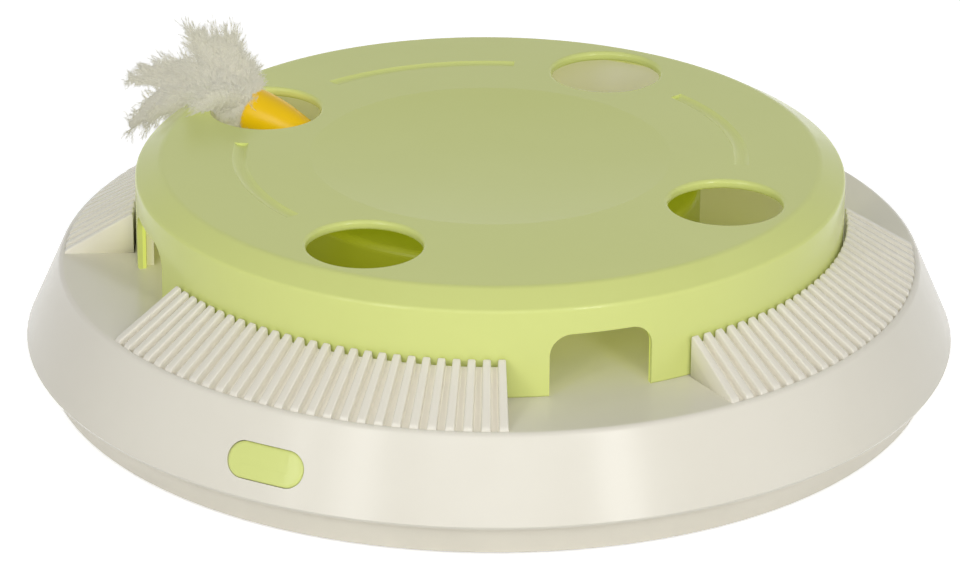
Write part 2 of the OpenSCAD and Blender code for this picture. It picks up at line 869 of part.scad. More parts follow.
module power_button() {
    color(cover_colour) {
        intersection() {
            on_skirt()
                translate([0, 0, -flange_depth - weld])
                    linear_extrude(height = flange_depth + shell_wall * 2)
                        pill(button_l, button_h);
            rotate_extrude()
                polygon([
                    [liner_out, z_tray], [skirt_at(z_tray) + btn_proud, z_tray],
                    [skirt_at(z_deck) + btn_proud, z_deck], [liner_out, z_deck]
                ]);
        }
        on_skirt() {
            translate([0, 0, -flange_depth - flange_t])
                linear_extrude(height = flange_t)
                    pill(btn_w + 2 * flange_more, btn_h + 2 * flange_more);
            disc(stem_r, hold_gap - plunger_depth, -flange_depth - weld);
        }
    }
}

module switch_plunger() {
    color(black_colour)
    on_skirt()
        disc(plunger_r, btn_travel + fit_gap + board_seat - board_depth, -plunger_depth);
}

// Floor of the switch's case, under the plunger
board_seat = 0.6;

module tact_switch() {
    color(steel_colour)
    on_skirt()
        difference() {
            translate([-switch_w / 2, -switch_w / 2, hold_gap - board_depth])
                cube([switch_w, switch_w, switch_h - hold_gap]);
            disc(plunger_r + run_gap, board_seat - board_depth, cut - board_depth + switch_h);
        }
}

board_screw_reach = 5;
board_back = -board_depth - board_t;

module control_board() {
    color(board_colour)
    on_skirt()
        difference() {
            translate([-board_d / 2, -board_w / 2, board_back])
                cube([board_d, board_w, board_t]);
            for (side = [-1, 1])
                translate([0, side * board_post_y, 0])
                    disc(small_screw_r + screw_gap, board_back - cut, cut - board_depth);
        }
}

chip_size = [4, 5, 1.5];
module controller_chip() {
    color(black_colour)
    on_skirt()
        translate([-chip_size[0] / 2, chip_size[1], board_back - chip_size[2] - hold_gap])
            cube(chip_size);
}

capacitor_r = 2.5;
capacitor_h = 6;
module board_capacitor() {
    color(cell_colour)
    on_skirt()
        translate([-capacitor_r, -2 * capacitor_h, 0])
            disc(capacitor_r, board_back - capacitor_h - hold_gap, board_back - hold_gap);
}

module board_screws() {
    color(steel_colour)
    on_skirt()
        for (side = [-1, 1])
            translate([0, side * board_post_y, board_back - small_head_h - hold_gap])
                screw_up(small_screw_r, board_t + board_screw_reach, small_head_r, small_head_h);
}

module battery_door() {
    color(tray_colour)
    difference() {
        bay_box(door_ledge - fit_gap, tab_l, z_door, z_door_top);
        at([door_screw_x, bay_y]) {
            disc(screw_r + screw_gap, z_door - cut, z_door_top + cut);
            disc(head_r + screw_gap, z_door - cut, z_door + door_t / 2);
        }
    }
}

module door_screw() {
    color(steel_colour)
    translate([door_screw_x, bay_y, z_door])
        screw_up(screw_r, pilot_depth - bay_wall, head_r, door_t / 2 - hold_gap);
}

// Cells that lie along X, with their buttons towards +X
module battery_cells() {
    color(cell_colour)
    for (y = cell_ys)
        translate([cell_x0, y, z_cell])
            rotate([0, 90, 0]) {
                disc(cell_r, 0, cell_len);
                disc(nub_r, cell_len - weld, cell_len + nub_len);
            }
}

// Cone springs behind the cells' flat ends
spring_rings = 12;
spring_len = contact_room - contact_t - 2 * hold_gap - 2 * spring_wire;
module contact_springs() {
    color(steel_colour)
    for (y = cell_ys)
        translate([cell_x0 - hold_gap - spring_wire, y, z_cell])
            rotate([0, -90, 0])
                tube_along([
                    for (i = [0 : spring_turns * spring_rings])
                        let (share = i / (spring_turns * spring_rings))
                            [
                                each polar(
                                    spring_r_narrow + (spring_r_wide - spring_r_narrow) * share,
                                    360 * i / spring_rings
                                ),
                                spring_len * share
                            ]
                ], spring_wire, 6);
}

// Contact plates on the bay's end walls
contact_size = 11;
module contact_plates() {
    color(steel_colour)
    for (y = cell_ys) {
        translate([bay_x0 + hold_gap, y - contact_size / 2, z_cell - contact_size / 2])
            cube([contact_t, contact_size, contact_size]);
        translate([-bay_x0 - contact_t - hold_gap, y - contact_size / 2, z_cell - contact_size / 2])
            cube([contact_t, contact_size, contact_size]);
        translate([cell_x0 + cell_len + nub_len + hold_gap, y, z_cell])
            rotate([0, 90, 0])
                disc(nub_r, 0, -bay_x0 - contact_t - cell_x0 - cell_len - nub_len - 2 * hold_gap);
    }
}

// Wires lie loose on the tray between the battery bay, the control board and the motor
battery_lead_routes = [
    [
        [-32, 60, 12], [-38, 59, 11], [-52, 40, 6], [-66, 0, 5],
        [-76, -44, 5.5], [-81, -70, 8.5], [-84, -79.5, 13]
    ],
    [
        [-32, 84, 12], [-39, 84, 11], [-62, 54, 6], [-76, 8, 5],
        [-84, -40, 5.5], [-87, -66, 8.5], [-89, -75.5, 12]
    ]
];
module battery_leads() {
    color(lead_colour)
    for (points = battery_lead_routes)
        tube_along(route(points), wire_r);
}

motor_lead_routes = [
    [[-10, -41, 8], [-15, -43, 6.5], [-34, -54, 5], [-58, -68, 5.5], [-72, -80, 9], [-77, -86.5, 12.5]],
    [[-10, -35, 8], [-16, -36, 6.5], [-34, -46, 5], [-60, -62, 5.5], [-74, -74, 9], [-80, -81.5, 12.5]]
];
module motor_leads() {
    color(black_colour)
    for (points = motor_lead_routes)
        tube_along(route(points), wire_r);
}

module motor_can() {
    color(steel_colour)
    difference() {
        at(motor_at)
            rotate_extrude()
                polygon([
                    [motor_r, z_can], [motor_r, z_lower - hold_gap], [nose_r, z_lower - hold_gap],
                    [nose_r, z_lower + nose_h], [motor_shaft_r + run_gap, z_lower + nose_h],
                    [motor_shaft_r + run_gap, z_lower - motor_skin],
                    [motor_r - motor_skin, z_lower - motor_skin], [motor_r - motor_skin, z_can]
                ]);
        at_motor_screws() disc(small_screw_r + hold_gap, z_lower - motor_skin - cut, z_lower + cut);
    }
}

module motor_cap() {
    color(black_colour)
    at(motor_at)
        tube(motor_shaft_r + run_gap, motor_r, z_motor, z_motor + motor_cap_t);
}

// The motor's shaft with its wound core
core_share = 0.62;
core_clear = 1.5;
module motor_rotor() {
    color(steel_colour)
    at(motor_at) {
        disc(motor_shaft_r, z_motor + weld, z_level_a + gear_t);
        disc(motor_r * core_share, z_can + core_clear, z_lower - motor_skin - core_clear);
    }
}

module motor_pinion() {
    color(brass_colour)
    at(motor_at)
        difference() {
            translate([0, 0, z_level_a]) toothed(pinion_teeth, first_line + 180);
            disc(motor_shaft_r + hold_gap, z_level_a - cut, z_level_a + gear_t + cut);
        }
}

module at_motor_screws() {
    at(motor_at)
        for (side = [-1, 1])
            rotate([0, 0, first_line + side * 90])
                translate([motor_screw_ring, 0, 0])
                    children();
}

module motor_screws() {
    color(steel_colour)
    at_motor_screws() {
        disc(small_head_r, z_lower_top + hold_gap, z_lower_top + hold_gap + small_head_h);
        disc(small_screw_r, z_lower - motor_screw_reach, z_lower_top + weld);
    }
}

module frame_shape() {
    round_plate(frame_x0, frame_x1, frame_y0, frame_y1, corner_r);
}

module gearbox_lower_plate() {
    color(gear_colour)
    difference() {
        union() {
            translate([0, 0, z_lower]) linear_extrude(height = frame_t) frame_shape();
            at_corners() disc(spacer_r, z_floor + hold_gap, z_lower + weld);
        }
        at_corners() {
            disc(screw_r + hold_gap, z_lower_top - frame_screw_reach - cut, z_lower_top + cut);
            disc(screw_r + hold_gap, z_floor - cut, z_floor + mount_screw_reach);
        }
        at(motor_at) disc(nose_r + run_gap, z_lower - cut, z_lower_top + cut);
        at_motor_screws() disc(small_screw_r + screw_gap, z_lower - cut, z_lower_top + cut);
        disc(shaft_r + run_gap, z_lower - cut, z_lower_top + cut);
        for (p = [first_at, second_at]) at(p) disc(pin_r + hold_gap, z_lower - cut, z_lower_top + cut);
    }
}

module gearbox_upper_plate() {
    color(gear_colour)
    difference() {
        translate([0, 0, z_upper]) linear_extrude(height = frame_t) frame_shape();
        at_corners() disc(screw_r + screw_gap, z_upper - cut, z_upper_top + cut);
        disc(neck_r + run_gap, z_upper - cut, z_upper_top + cut);
        for (p = [first_at, second_at]) at(p) disc(pin_r + hold_gap, z_upper - cut, z_upper_top + cut);
    }
}

module gearbox_spacers() {
    color(gear_colour)
    at_corners() tube(screw_r + screw_gap, spacer_r, z_lower_top + hold_gap, z_upper - hold_gap);
}

module gearbox_screws() {
    color(steel_colour)
    at_corners() {
        disc(head_r, z_upper_top + hold_gap, z_upper_top + hold_gap + head_h);
        disc(screw_r, z_lower_top - frame_screw_reach, z_upper_top + weld);
    }
}

module gearbox_mount_screws() {
    color(steel_colour)
    at_corners() {
        disc(head_r, z_tray, z_tray + foot_inset - hold_gap);
        disc(screw_r, z_tray + weld, z_floor + mount_screw_reach - cut);
    }
}

module gear_pins() {
    color(steel_colour)
    for (p = [first_at, second_at])
        at(p) disc(pin_r, z_lower, z_upper_top);
}

// A wheel and a pinion in one piece, with a hub that reaches from plate to plate
module compound_gear(z_wheel, wheel_dir, z_pinion, pinion_dir) {
    difference() {
        union() {
            translate([0, 0, z_wheel]) toothed(wheel_teeth, wheel_dir, gap_there = true);
            translate([0, 0, z_pinion]) toothed(pinion_teeth, pinion_dir);
            disc(hub_r, z_lower_top + fit_gap, z_upper - fit_gap);
        }
        disc(pin_r + run_gap, z_lower_top, z_upper);
    }
}

module first_gear() {
    color(gear_colour)
    at(first_at) compound_gear(z_level_a, first_line, z_level_b, second_line + 180);
}

module second_gear() {
    color(gear_colour)
    at(second_at) compound_gear(z_level_b, second_line, z_level_c, output_line + 180);
}

// A flat-sided round rod or hole
module keyed(r, flat, z0, z1) {
    intersection() {
        disc(r, z0, z1);
        translate([-2 * r, -2 * r, z0 - cut]) cube([2 * r + flat, 4 * r, z1 - z0 + 2 * cut]);
    }
}

module output_gear() {
    color(gear_colour)
    difference() {
        translate([0, 0, z_level_c]) toothed(output_teeth, output_line, gap_there = true);
        keyed(shaft_r + hold_gap, shaft_flat + hold_gap, z_level_c - cut, z_level_c + gear_t + cut);
    }
}

module output_shaft() {
    color(steel_colour)
    difference() {
        union() {
            disc(shaft_r, z_shaft, z_collar + weld);
            disc(collar_r, z_collar, z_collar_top);
            keyed(shaft_r, shaft_flat, z_collar_top - weld, z_shoulder);
            disc(neck_r, z_shoulder - weld, z_shaft_top - neck_key);
            keyed(neck_r, neck_flat, z_shaft_top - neck_key - weld, z_shaft_top);
        }
        disc(screw_r + hold_gap, z_shaft_top - rotor_screw_reach - cut, z_shaft_top + cut);
    }
}

module deck_bush() {
    color(brass_colour)
    rotate_extrude()
        polygon([
            [neck_r + run_gap, z_boss], [bush_r, z_boss], [bush_r, z_deck + hold_gap],
            [bush_flange_r, z_deck + hold_gap], [bush_flange_r, z_deck + bush_flange_t],
            [neck_r + run_gap, z_deck + bush_flange_t]
        ]);
}

// The drum is an upturned cup with a keyed hub and a socket for the wand
drum_outline = [
    [0, z_drum_top],
    [0, z_drum],
    [hub_boss_r, z_drum],
    [hub_boss_r, z_drum_top - drum_wall],
    [drum_r - drum_wall - drum_edge / 2, z_drum_top - drum_wall],
    [drum_r - drum_wall, z_drum_top - drum_wall - drum_edge / 2],
    [drum_r - drum_wall, z_drum],
    [drum_r, z_drum],
    each arc([drum_r - drum_edge, z_drum_top - drum_edge], drum_edge, 0, 90)
];
module rotor_drum() {
    color(rotor_colour)
    difference() {
        union() {
            rotate_extrude() polygon(drum_outline);
            on_wand() disc(socket_r, socket_end - socket_back, socket_end);
        }
        disc(neck_r + hold_gap, z_drum - cut, z_shaft_top - neck_key + fit_gap);
        keyed(neck_r + hold_gap, neck_flat + hold_gap, z_drum, z_shaft_top + fit_gap);
        disc(screw_r + screw_gap, z_drum, z_drum_top + cut);
        disc(head_r + screw_gap, z_rotor_seat, z_drum_top + cut);
        on_wand() disc(core_r + hold_gap, core_start - hold_gap, socket_end + cut);
    }
}

module rotor_screw() {
    color(steel_colour) {
        disc(head_r, z_rotor_seat + hold_gap, z_rotor_seat + hold_gap + head_h);
        disc(screw_r, z_shaft_top - rotor_screw_reach, z_rotor_seat + weld);
    }
}

module wand_core() {
    color(steel_colour)
    on_wand() disc(core_r, core_start, core_end);
}

// The sleeve swells from the drum to the feather and has a soft outer end
sleeve_soft = 1.6;
sleeve_steps = 7;
sleeve_outline = [
    [core_r + hold_gap, sleeve_start],
    for (i = [0 : sleeve_steps])
        [
            sleeve_r_in + (sleeve_r_out - sleeve_r_in) * sin(90 * i / sleeve_steps),
            sleeve_start + (sleeve_len - sleeve_soft) * i / sleeve_steps
        ],
    each arc([sleeve_r_out - sleeve_soft, sleeve_end - sleeve_soft], sleeve_soft, 30, 90, 2),
    [core_r + hold_gap, sleeve_end]
];
module feather_sleeve() {
    color(sleeve_colour)
    on_wand()
        rotate_extrude() polygon(sleeve_outline);
}

// Plume: soft lobes that leave one quill. Each lobe is a curve through a bend to a tip, all given
// as distances out from the sleeve's end, to the side and up, with a half width and half thickness.
plume_rings = 9;
plume_sides = 10;
plume_lobes = [
    [[9, 1, 21], [20, 3, 28], 5, 3.2],
    [[4, -3, 16], [5, -6, 29], 5, 3.2],
    [[4, -2, 14], [-7, -8, 19], 4, 2.8],
    [[20, -4, 22], [47, -6, 3], 5, 3.4],
    [[18, 8, 23], [33, 14, 4], 5, 3.2],
    [[20, 3, 30], [45, 5, -14], 5, 3.4],
    [[12, 12, 16], [17, 19, 8], 4, 3]
];
plume_root = [1, 0, 0.6];
lobe_root = 0.14;
look_ahead = 0.01;
function bend(a, b, c, t) = (1 - t) * (1 - t) * a + 2 * t * (1 - t) * b + t * t * c;
function swell(t) = lobe_root + (1 - lobe_root) * sin(180 * t);

module lobe(by, tip, half_w, half_t) {
    rings = [
        for (i = [0 : plume_rings])
            let (
                t = i / plume_rings,
                middle = bend(plume_root, by, tip, t),
                next = bend(plume_root, by, tip, t + look_ahead),
                ahead = unit(next - middle),
                across = unit(cross(ahead, [0, 1, 0])),
                side = cross(ahead, across)
            )
            for (k = [0 : plume_sides - 1])
                middle
                    + swell(t) * half_w * cos(360 * k / plume_sides) * across
                    + swell(t) * half_t * sin(360 * k / plume_sides) * side
    ];
    skin(rings, plume_rings + 1, plume_sides);
}

module feather_plume() {
    reach = wand_at + sleeve_end * cos(wand_pitch);
    rise = z_wand + sleeve_end * sin(wand_pitch);
    color(plume_colour) {
        rotate([0, 0, wand_dir])
            translate([reach, 0, rise])
                for (l = plume_lobes) lobe(l[0], l[1], l[2], l[3]);
        on_wand() disc(core_r, sleeve_end - quill_len, sleeve_end + fit_gap + cut);
    }
}

module case_screws() {
    color(steel_colour)
    on_circle(post_count, post_ring, post_first) {
        disc(head_r, z_tray + head_sink - head_h - hold_gap, z_tray + head_sink - hold_gap);
        disc(screw_r, z_tray + head_sink - weld, z_post + pilot_depth - cut);
    }
}

module rubber_feet() {
    color(black_colour)
    on_circle(foot_count, foot_ring, foot_first)
        disc(foot_r, 0, z_tray + foot_inset - hold_gap);
}

bottom_tray();
base_shell();
ramp_back_right();
ramp_back_left();
ramp_front_left();
ramp_front_right();
cover();
power_button();
switch_plunger();
tact_switch();
control_board();
controller_chip();
board_capacitor();
board_screws();
battery_door();
door_screw();
battery_cells();
contact_springs();
contact_plates();
battery_leads();
motor_leads();
motor_can();
motor_cap();
motor_rotor();
motor_pinion();
motor_screws();
gearbox_lower_plate();
gearbox_upper_plate();
gearbox_spacers();
gearbox_screws();
gearbox_mount_screws();
gear_pins();
first_gear();
second_gear();
output_gear();
output_shaft();
deck_bush();
rotor_drum();
rotor_screw();
wand_core();
feather_sleeve();
feather_plume();
case_screws();
rubber_feet();
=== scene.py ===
"""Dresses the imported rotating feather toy: moulded plastics, a rubber sleeve and a down plume.

The CAD nodes stay where they are and get procedural finishes. The ramps, the button, the sleeve and
the plume, whose solids are plain, are built here as numpy surfaces. Lengths are in metres, with +Z
up and the origin on the floor under the middle of the base.
"""

import json
import logging
import math
from dataclasses import dataclass
from enum import Enum
from typing import Any

import bpy
import numpy as np
from mathutils import Matrix, Vector


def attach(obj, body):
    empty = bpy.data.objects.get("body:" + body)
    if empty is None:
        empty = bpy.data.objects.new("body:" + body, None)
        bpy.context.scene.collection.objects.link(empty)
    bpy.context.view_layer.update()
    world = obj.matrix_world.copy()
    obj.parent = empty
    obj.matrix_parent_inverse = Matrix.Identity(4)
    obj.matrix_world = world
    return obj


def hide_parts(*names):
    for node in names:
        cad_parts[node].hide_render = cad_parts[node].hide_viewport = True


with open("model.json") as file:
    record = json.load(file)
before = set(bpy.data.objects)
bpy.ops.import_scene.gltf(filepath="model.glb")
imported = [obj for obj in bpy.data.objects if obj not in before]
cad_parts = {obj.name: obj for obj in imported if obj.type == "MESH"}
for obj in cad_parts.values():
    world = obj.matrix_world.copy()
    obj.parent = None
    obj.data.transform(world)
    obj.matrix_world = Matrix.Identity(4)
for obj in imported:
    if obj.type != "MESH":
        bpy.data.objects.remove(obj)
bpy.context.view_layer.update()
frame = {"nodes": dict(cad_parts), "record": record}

LOG = logging.getLogger("feather_toy")
MM = 0.001
WHITE = (1.0, 1.0, 1.0, 1.0)
NO_LIGHT = (0.0, 0.0, 0.0, 1.0)
# Direction of each ramp's middle, in degrees round the toy's axis.
RAMP_TURNS = {"ramp_back_right": 45, "ramp_back_left": 135, "ramp_front_left": 225, "ramp_front_right": 315}

Rgb = tuple[float, float, float]
Place = tuple[float, float, float]
Array = np.ndarray
Socket = bpy.types.NodeSocket


class Body(Enum):
    """CAD bodies that new pieces ride on."""

    BASE = "base"
    BUTTON = "button"
    ROTOR = "rotor"


class Slot(Enum):
    """Material slots of the record."""

    BASE = "base_plastic"
    TRAY = "tray_plastic"
    COVER = "cover_plastic"
    ROTOR = "rotor_plastic"
    SLEEVE = "sleeve_rubber"
    PLUME = "plume"
    STEEL = "steel"
    BRASS = "brass"
    GEAR = "gear_plastic"
    BOARD = "board"
    BLACK = "black_plastic"
    CELL = "cell_jacket"
    BATTERY_WIRE = "battery_wire"
    MOTOR_WIRE = "motor_wire"
    FOOT = "foot_rubber"


def linear(colour: Rgb) -> tuple[float, float, float, float]:
    """Turns a display colour into the linear colour that shaders take, by the sRGB formula.

    Args:
        colour: Red, green and blue from 0 to 255, as seen on a screen.

    Returns:
        Linear red, green and blue from 0 to 1, and an alpha of 1.
    """
    share = np.asarray(colour, float) / 255
    low, high = share / 12.92, ((share + 0.055) / 1.055) ** 2.4
    return (*np.where(share <= 0.04045, low, high).tolist(), 1.0)


def unit(vectors: Array) -> Array:
    """Scales vectors along the last axis to length one."""
    return vectors / np.maximum(np.linalg.norm(vectors, axis=-1, keepdims=True), 1e-12)


def around(sides: int) -> Array:
    """Lists the angles of evenly spaced points round a circle."""
    return np.linspace(0, 2 * np.pi, sides, endpoint=False)


def grid_triangles(rows: int, cols: int) -> Array:
    """Lists the triangles between the rings of a stack, two to each cell.

    Args:
        rows: Rings in the stack.
        cols: Points in a ring, of which the last joins the first.

    Returns:
        Point indices, three to a row.
    """
    i, j = np.meshgrid(np.arange(rows - 1), np.arange(cols), indexing="ij")
    k = (j + 1) % cols
    a, b, c, d = i * cols + j, i * cols + k, (i + 1) * cols + k, (i + 1) * cols + j
    return np.concatenate([np.stack(corners, -1).reshape(-1, 3) for corners in ([a, b, c], [a, c, d])])


def fan_triangles(first: int, count: int, flip: bool) -> Array:
    """Closes a ring of points with a fan from its first point.

    Args:
        first: Index of the ring's first point.
        count: Points in the ring.
        flip: Whether the fan faces the other way.

    Returns:
        Point indices, three to a row.
    """
    k = np.arange(1, count - 1)
    a, b, c = np.full_like(k, first), first + k, first + k + 1
    return np.stack([a, c, b] if flip else [a, b, c], -1)


def swept_skin(rings: Array) -> tuple[Array, Array]:
    """Closes a stack of rings into a skin: walls between neighbouring rings and a fan at each end.

    Args:
        rings: Positions, indexed by ring, place in the ring and axis.

    Returns:
        The points, three to a row, and triangles that face outwards.
    """
    count, sides = rings.shape[:2]
    points = rings.reshape(-1, 3)
    triangles = np.concatenate([
        grid_triangles(count, sides),
        fan_triangles(0, sides, flip=True),
        fan_triangles((count - 1) * sides, sides, flip=False),
    ])
    p, q, r = (points[triangles[:, k]] for k in range(3))
    faces_out = np.einsum("ij,ij->", p, np.cross(q, r)) > 0
    return points, triangles if faces_out else triangles[:, ::-1]


def new_piece(name: str, points: Array, triangles: Array, **values: Array) -> bpy.types.Object:
    """Puts points and triangles into a smooth mesh object at the origin.

    Args:
        name: Name of the object and its mesh.
        points: Positions in metres, three to a row.
        triangles: Point indices, three to a row.
        **values: Named float attributes, one number for each point.

    Returns:
        The new object, linked into the scene.
    """
    mesh = bpy.data.meshes.new(name)
    mesh.vertices.add(len(points))
    mesh.vertices.foreach_set("co", np.ascontiguousarray(points, np.float32).ravel())
    mesh.loops.add(triangles.size)
    mesh.loops.foreach_set("vertex_index", np.ascontiguousarray(triangles, np.int32).ravel())
    mesh.polygons.add(len(triangles))
    mesh.polygons.foreach_set("loop_start", np.arange(0, triangles.size, 3, dtype=np.int32))
    mesh.polygons.foreach_set("use_smooth", np.ones(len(triangles), bool))
    for label, numbers in values.items():
        layer = mesh.attributes.new(label, "FLOAT", "POINT")
        layer.data.foreach_set("value", np.ascontiguousarray(numbers, np.float32).ravel())
    mesh.update(calc_edges=True)
    piece = bpy.data.objects.new(name, mesh)
    bpy.context.scene.collection.objects.link(piece)
    return piece


class Graph:
    """Adds and links nodes in one shader tree."""

    def __init__(self, tree: bpy.types.NodeTree) -> None:
        """Takes the tree to work in."""
        self.tree = tree

    def feed(self, node: bpy.types.Node, **inputs: Any) -> None:
        """Fills or links a node's inputs.

        Args:
            node: The node.
            **inputs: Values or output sockets, by input name with _ for a space, or by in0, in1 for a place.
        """
        for key, value in inputs.items():
            place = key.removeprefix("in")
            socket = node.inputs[int(place) if place.isdigit() else key.replace("_", " ")]
            if isinstance(value, Socket):
                self.tree.links.new(value, socket)
            else:
                socket.default_value = value

    def add(self, kind: str, settings: dict[str, Any] | None = None, **inputs: Any) -> bpy.types.Node:
        """Adds a node, sets its options and feeds its inputs.

        Args:
            kind: Blender's name for the node type.
            settings: Options of the node itself.
            **inputs: The inputs, as feed takes them.

        Returns:
            The node.
        """
        node = self.tree.nodes.new(kind)
        for key, value in (settings or {}).items():
            setattr(node, key, value)
        self.feed(node, **inputs)
        return node

    def math(self, operation: str, first: Any, second: Any, clamp: bool = False) -> Socket:
        """Adds a Math node on two numbers or sockets and returns its output."""
        settings = {"operation": operation, "use_clamp": clamp}
        return self.add("ShaderNodeMath", settings, in0=first, in1=second).outputs[0]

    def blend(self, factor: Any, first: Any, second: Any) -> Socket:
        """Adds a colour Mix node between two colours and returns its colour output."""
        return self.add("ShaderNodeMix", {"data_type": "RGBA"}, in0=factor, in6=first, in7=second).outputs[2]

    def span(self, value: Any, low: Any, high: Any, to_low: Any, to_high: Any) -> Socket:
        """Adds a clamped Map Range node and returns its result."""
        ends = {"in0": value, "in1": low, "in2": high, "in3": to_low, "in4": to_high}
        return self.add("ShaderNodeMapRange", **ends).outputs[0]

    def where(self) -> Socket:
        """Adds the object's own coordinates."""
        return self.add("ShaderNodeTexCoord").outputs["Object"]

    def noise(self, where: Socket, scale: Any, detail: float, **inputs: Any) -> Socket:
        """Adds a Noise texture and returns its value."""
        node = self.add("ShaderNodeTexNoise", Vector=where, Scale=scale, Detail=detail, **inputs)
        return node.outputs["Fac"]

    def bump(self, height: Socket, strength: float, depth: float) -> Socket:
        """Adds a Bump node and returns its normal."""
        return self.add("ShaderNodeBump", Height=height, Strength=strength, Distance=depth).outputs[0]

    def attribute(self, name: str) -> Socket:
        """Adds a reader of a mesh's own float attribute."""
        return self.add("ShaderNodeAttribute", {"attribute_name": name}).outputs["Fac"]


class Effect:
    """One shared node group, built once, with named inputs and outputs."""

    def __init__(self, name: str, inputs: dict[str, Any], outputs: dict[str, str]) -> None:
        """Makes the group's tree and sockets.

        Args:
            name: Name of the group.
            inputs: Starting value of each input: a number or a colour.
            outputs: Kind of each output, Color or Float.
        """
        self.tree = bpy.data.node_groups.new(name, "ShaderNodeTree")
        for label, start in inputs.items():
            kind = "NodeSocketFloat" if isinstance(start, float) else "NodeSocketColor"
            self.tree.interface.new_socket(label, in_out="INPUT", socket_type=kind).default_value = start
        for label, kind in outputs.items():
            self.tree.interface.new_socket(label, in_out="OUTPUT", socket_type="NodeSocket" + kind)
        self.graph = Graph(self.tree)
        self.given = self.graph.add("NodeGroupInput").outputs
        self.result = self.graph.add("NodeGroupOutput").inputs

    def put(self, label: str, socket: Socket) -> None:
        """Links a socket to one of the group's outputs."""
        self.tree.links.new(socket, self.result[label])

    def put_gloss(self, noise: Socket) -> None:
        """Puts out the given roughness, raised and lowered by a noise of the given spread."""
        lift = self.graph.math("MULTIPLY", self.graph.math("SUBTRACT", noise, 0.5), self.given["Spread"])
        self.put("Roughness", self.graph.math("ADD", self.given["Roughness"], lift, clamp=True))

    def place(self, graph: Graph, **inputs: Any) -> Any:
        """Adds the group to a material's graph, with its own values, and returns the outputs."""
        return graph.add("ShaderNodeGroup", {"node_tree": self.tree}, **inputs).outputs


class Effects:
    """The shared effects of the toy's finishes."""

    def __init__(self) -> None:
        """Builds every effect once."""
        self.skin = self._skin()
        self.dust = self._dust()
        self.drawn = self._drawn()
        self.through = self._through()

    @staticmethod
    def _skin() -> Effect:
        """Moulded skin: slow drifts of colour and gloss from the melt's flow, and a fine satin grain.

        Returns:
            The effect.
        """
        made = Effect(
            "moulded_skin",
            {"Colour": WHITE, "Flow Colour": WHITE, "Flow": 0.5, "Roughness": 0.3, "Spread": 0.05,
             "Grain Scale": 900.0},
            {"Colour": "Color", "Roughness": "Float", "Height": "Float"},
        )
        graph, given, where = made.graph, made.given, made.graph.where()
        flow = graph.noise(where, scale=22.0, detail=3.0, Roughness=0.55, Distortion=0.6)
        drift = graph.math("MULTIPLY", graph.span(flow, 0.3, 0.7, 0.0, 1.0), given["Flow"])
        made.put("Colour", graph.blend(drift, given["Colour"], given["Flow Colour"]))
        made.put_gloss(graph.noise(where, scale=70.0, detail=4.0))
        grain = graph.noise(where, scale=given["Grain Scale"], detail=2.0)
        peel = graph.noise(where, scale=160.0, detail=1.0)
        made.put("Height", graph.math("ADD", grain, peel))
        return made

    @staticmethod
    def _dust() -> Effect:
        """Settled dust: a patchy veil that thins out from the floor up to a height.

        Returns:
            The effect.
        """
        made = Effect(
            "settled_dust",
            {"Colour": WHITE, "Dust Colour": (0.5, 0.48, 0.44, 1), "High": 0.01, "Amount": 0.2},
            {"Colour": "Color"},
        )
        graph, given, where = made.graph, made.given, made.graph.where()
        height = graph.add("ShaderNodeSeparateXYZ", Vector=where).outputs["Z"]
        fade = graph.span(height, 0.0, given["High"], 1.0, 0.0)
        patch = graph.noise(where, scale=120.0, detail=5.0, Roughness=0.7)
        veil = graph.math("MULTIPLY", fade, graph.span(patch, 0.35, 0.75, 0.2, 1.0))
        mask = graph.math("MULTIPLY", veil, given["Amount"])
        made.put("Colour", graph.blend(mask, given["Colour"], given["Dust Colour"]))
        return made

    @staticmethod
    def _drawn() -> Effect:
        """Drawn or turned metal: fine lines round the vertical axis and slow changes of tone.

        Returns:
            The effect.
        """
        made = Effect(
            "drawn_lines",
            {"Colour": WHITE, "Dull Colour": WHITE, "Roughness": 0.3, "Spread": 0.15},
            {"Colour": "Color", "Roughness": "Float", "Height": "Float"},
        )
        graph, given, where = made.graph, made.given, made.graph.where()
        squeeze = graph.add("ShaderNodeMapping", Vector=where, Scale=(300.0, 300.0, 6000.0))
        lines = graph.noise(squeeze.outputs[0], scale=1.0, detail=3.0)
        dull = graph.span(graph.noise(where, scale=240.0, detail=3.0), 0.4, 0.75, 0.0, 0.6)
        made.put("Colour", graph.blend(dull, given["Colour"], given["Dull Colour"]))
        made.put_gloss(lines)
        made.put("Height", lines)
        return made

    @staticmethod
    def _through() -> Effect:
        """Light through thin plastic: a glow on the inner side of a turned cover.

        The inner side lies within a radius and below a plate, whose height falls past a bend.

        Returns:
            The effect.
        """
        made = Effect(
            "lit_through",
            {"Colour": WHITE, "Radius": 0.1046, "Plate": 0.0647, "Bend": 0.0985, "Fall": 0.579},
            {"Glow": "Color"},
        )
        graph, given, where = made.graph, made.given, made.graph.where()
        flatten = {"operation": "MULTIPLY"}
        level = graph.add("ShaderNodeVectorMath", flatten, in0=where, in1=(1.0, 1.0, 0.0)).outputs[0]
        away = graph.add("ShaderNodeVectorMath", {"operation": "LENGTH"}, in0=level).outputs["Value"]
        past = graph.math("MAXIMUM", graph.math("SUBTRACT", away, given["Bend"]), 0.0)
        height = graph.add("ShaderNodeSeparateXYZ", Vector=where).outputs["Z"]
        raised = graph.math("ADD", height, graph.math("MULTIPLY", past, given["Fall"]))
        below = graph.math("LESS_THAN", raised, given["Plate"])
        inside = graph.math("MULTIPLY", below, graph.math("LESS_THAN", away, given["Radius"]))
        made.put("Glow", graph.blend(inside, NO_LIGHT, given["Colour"]))
        return made


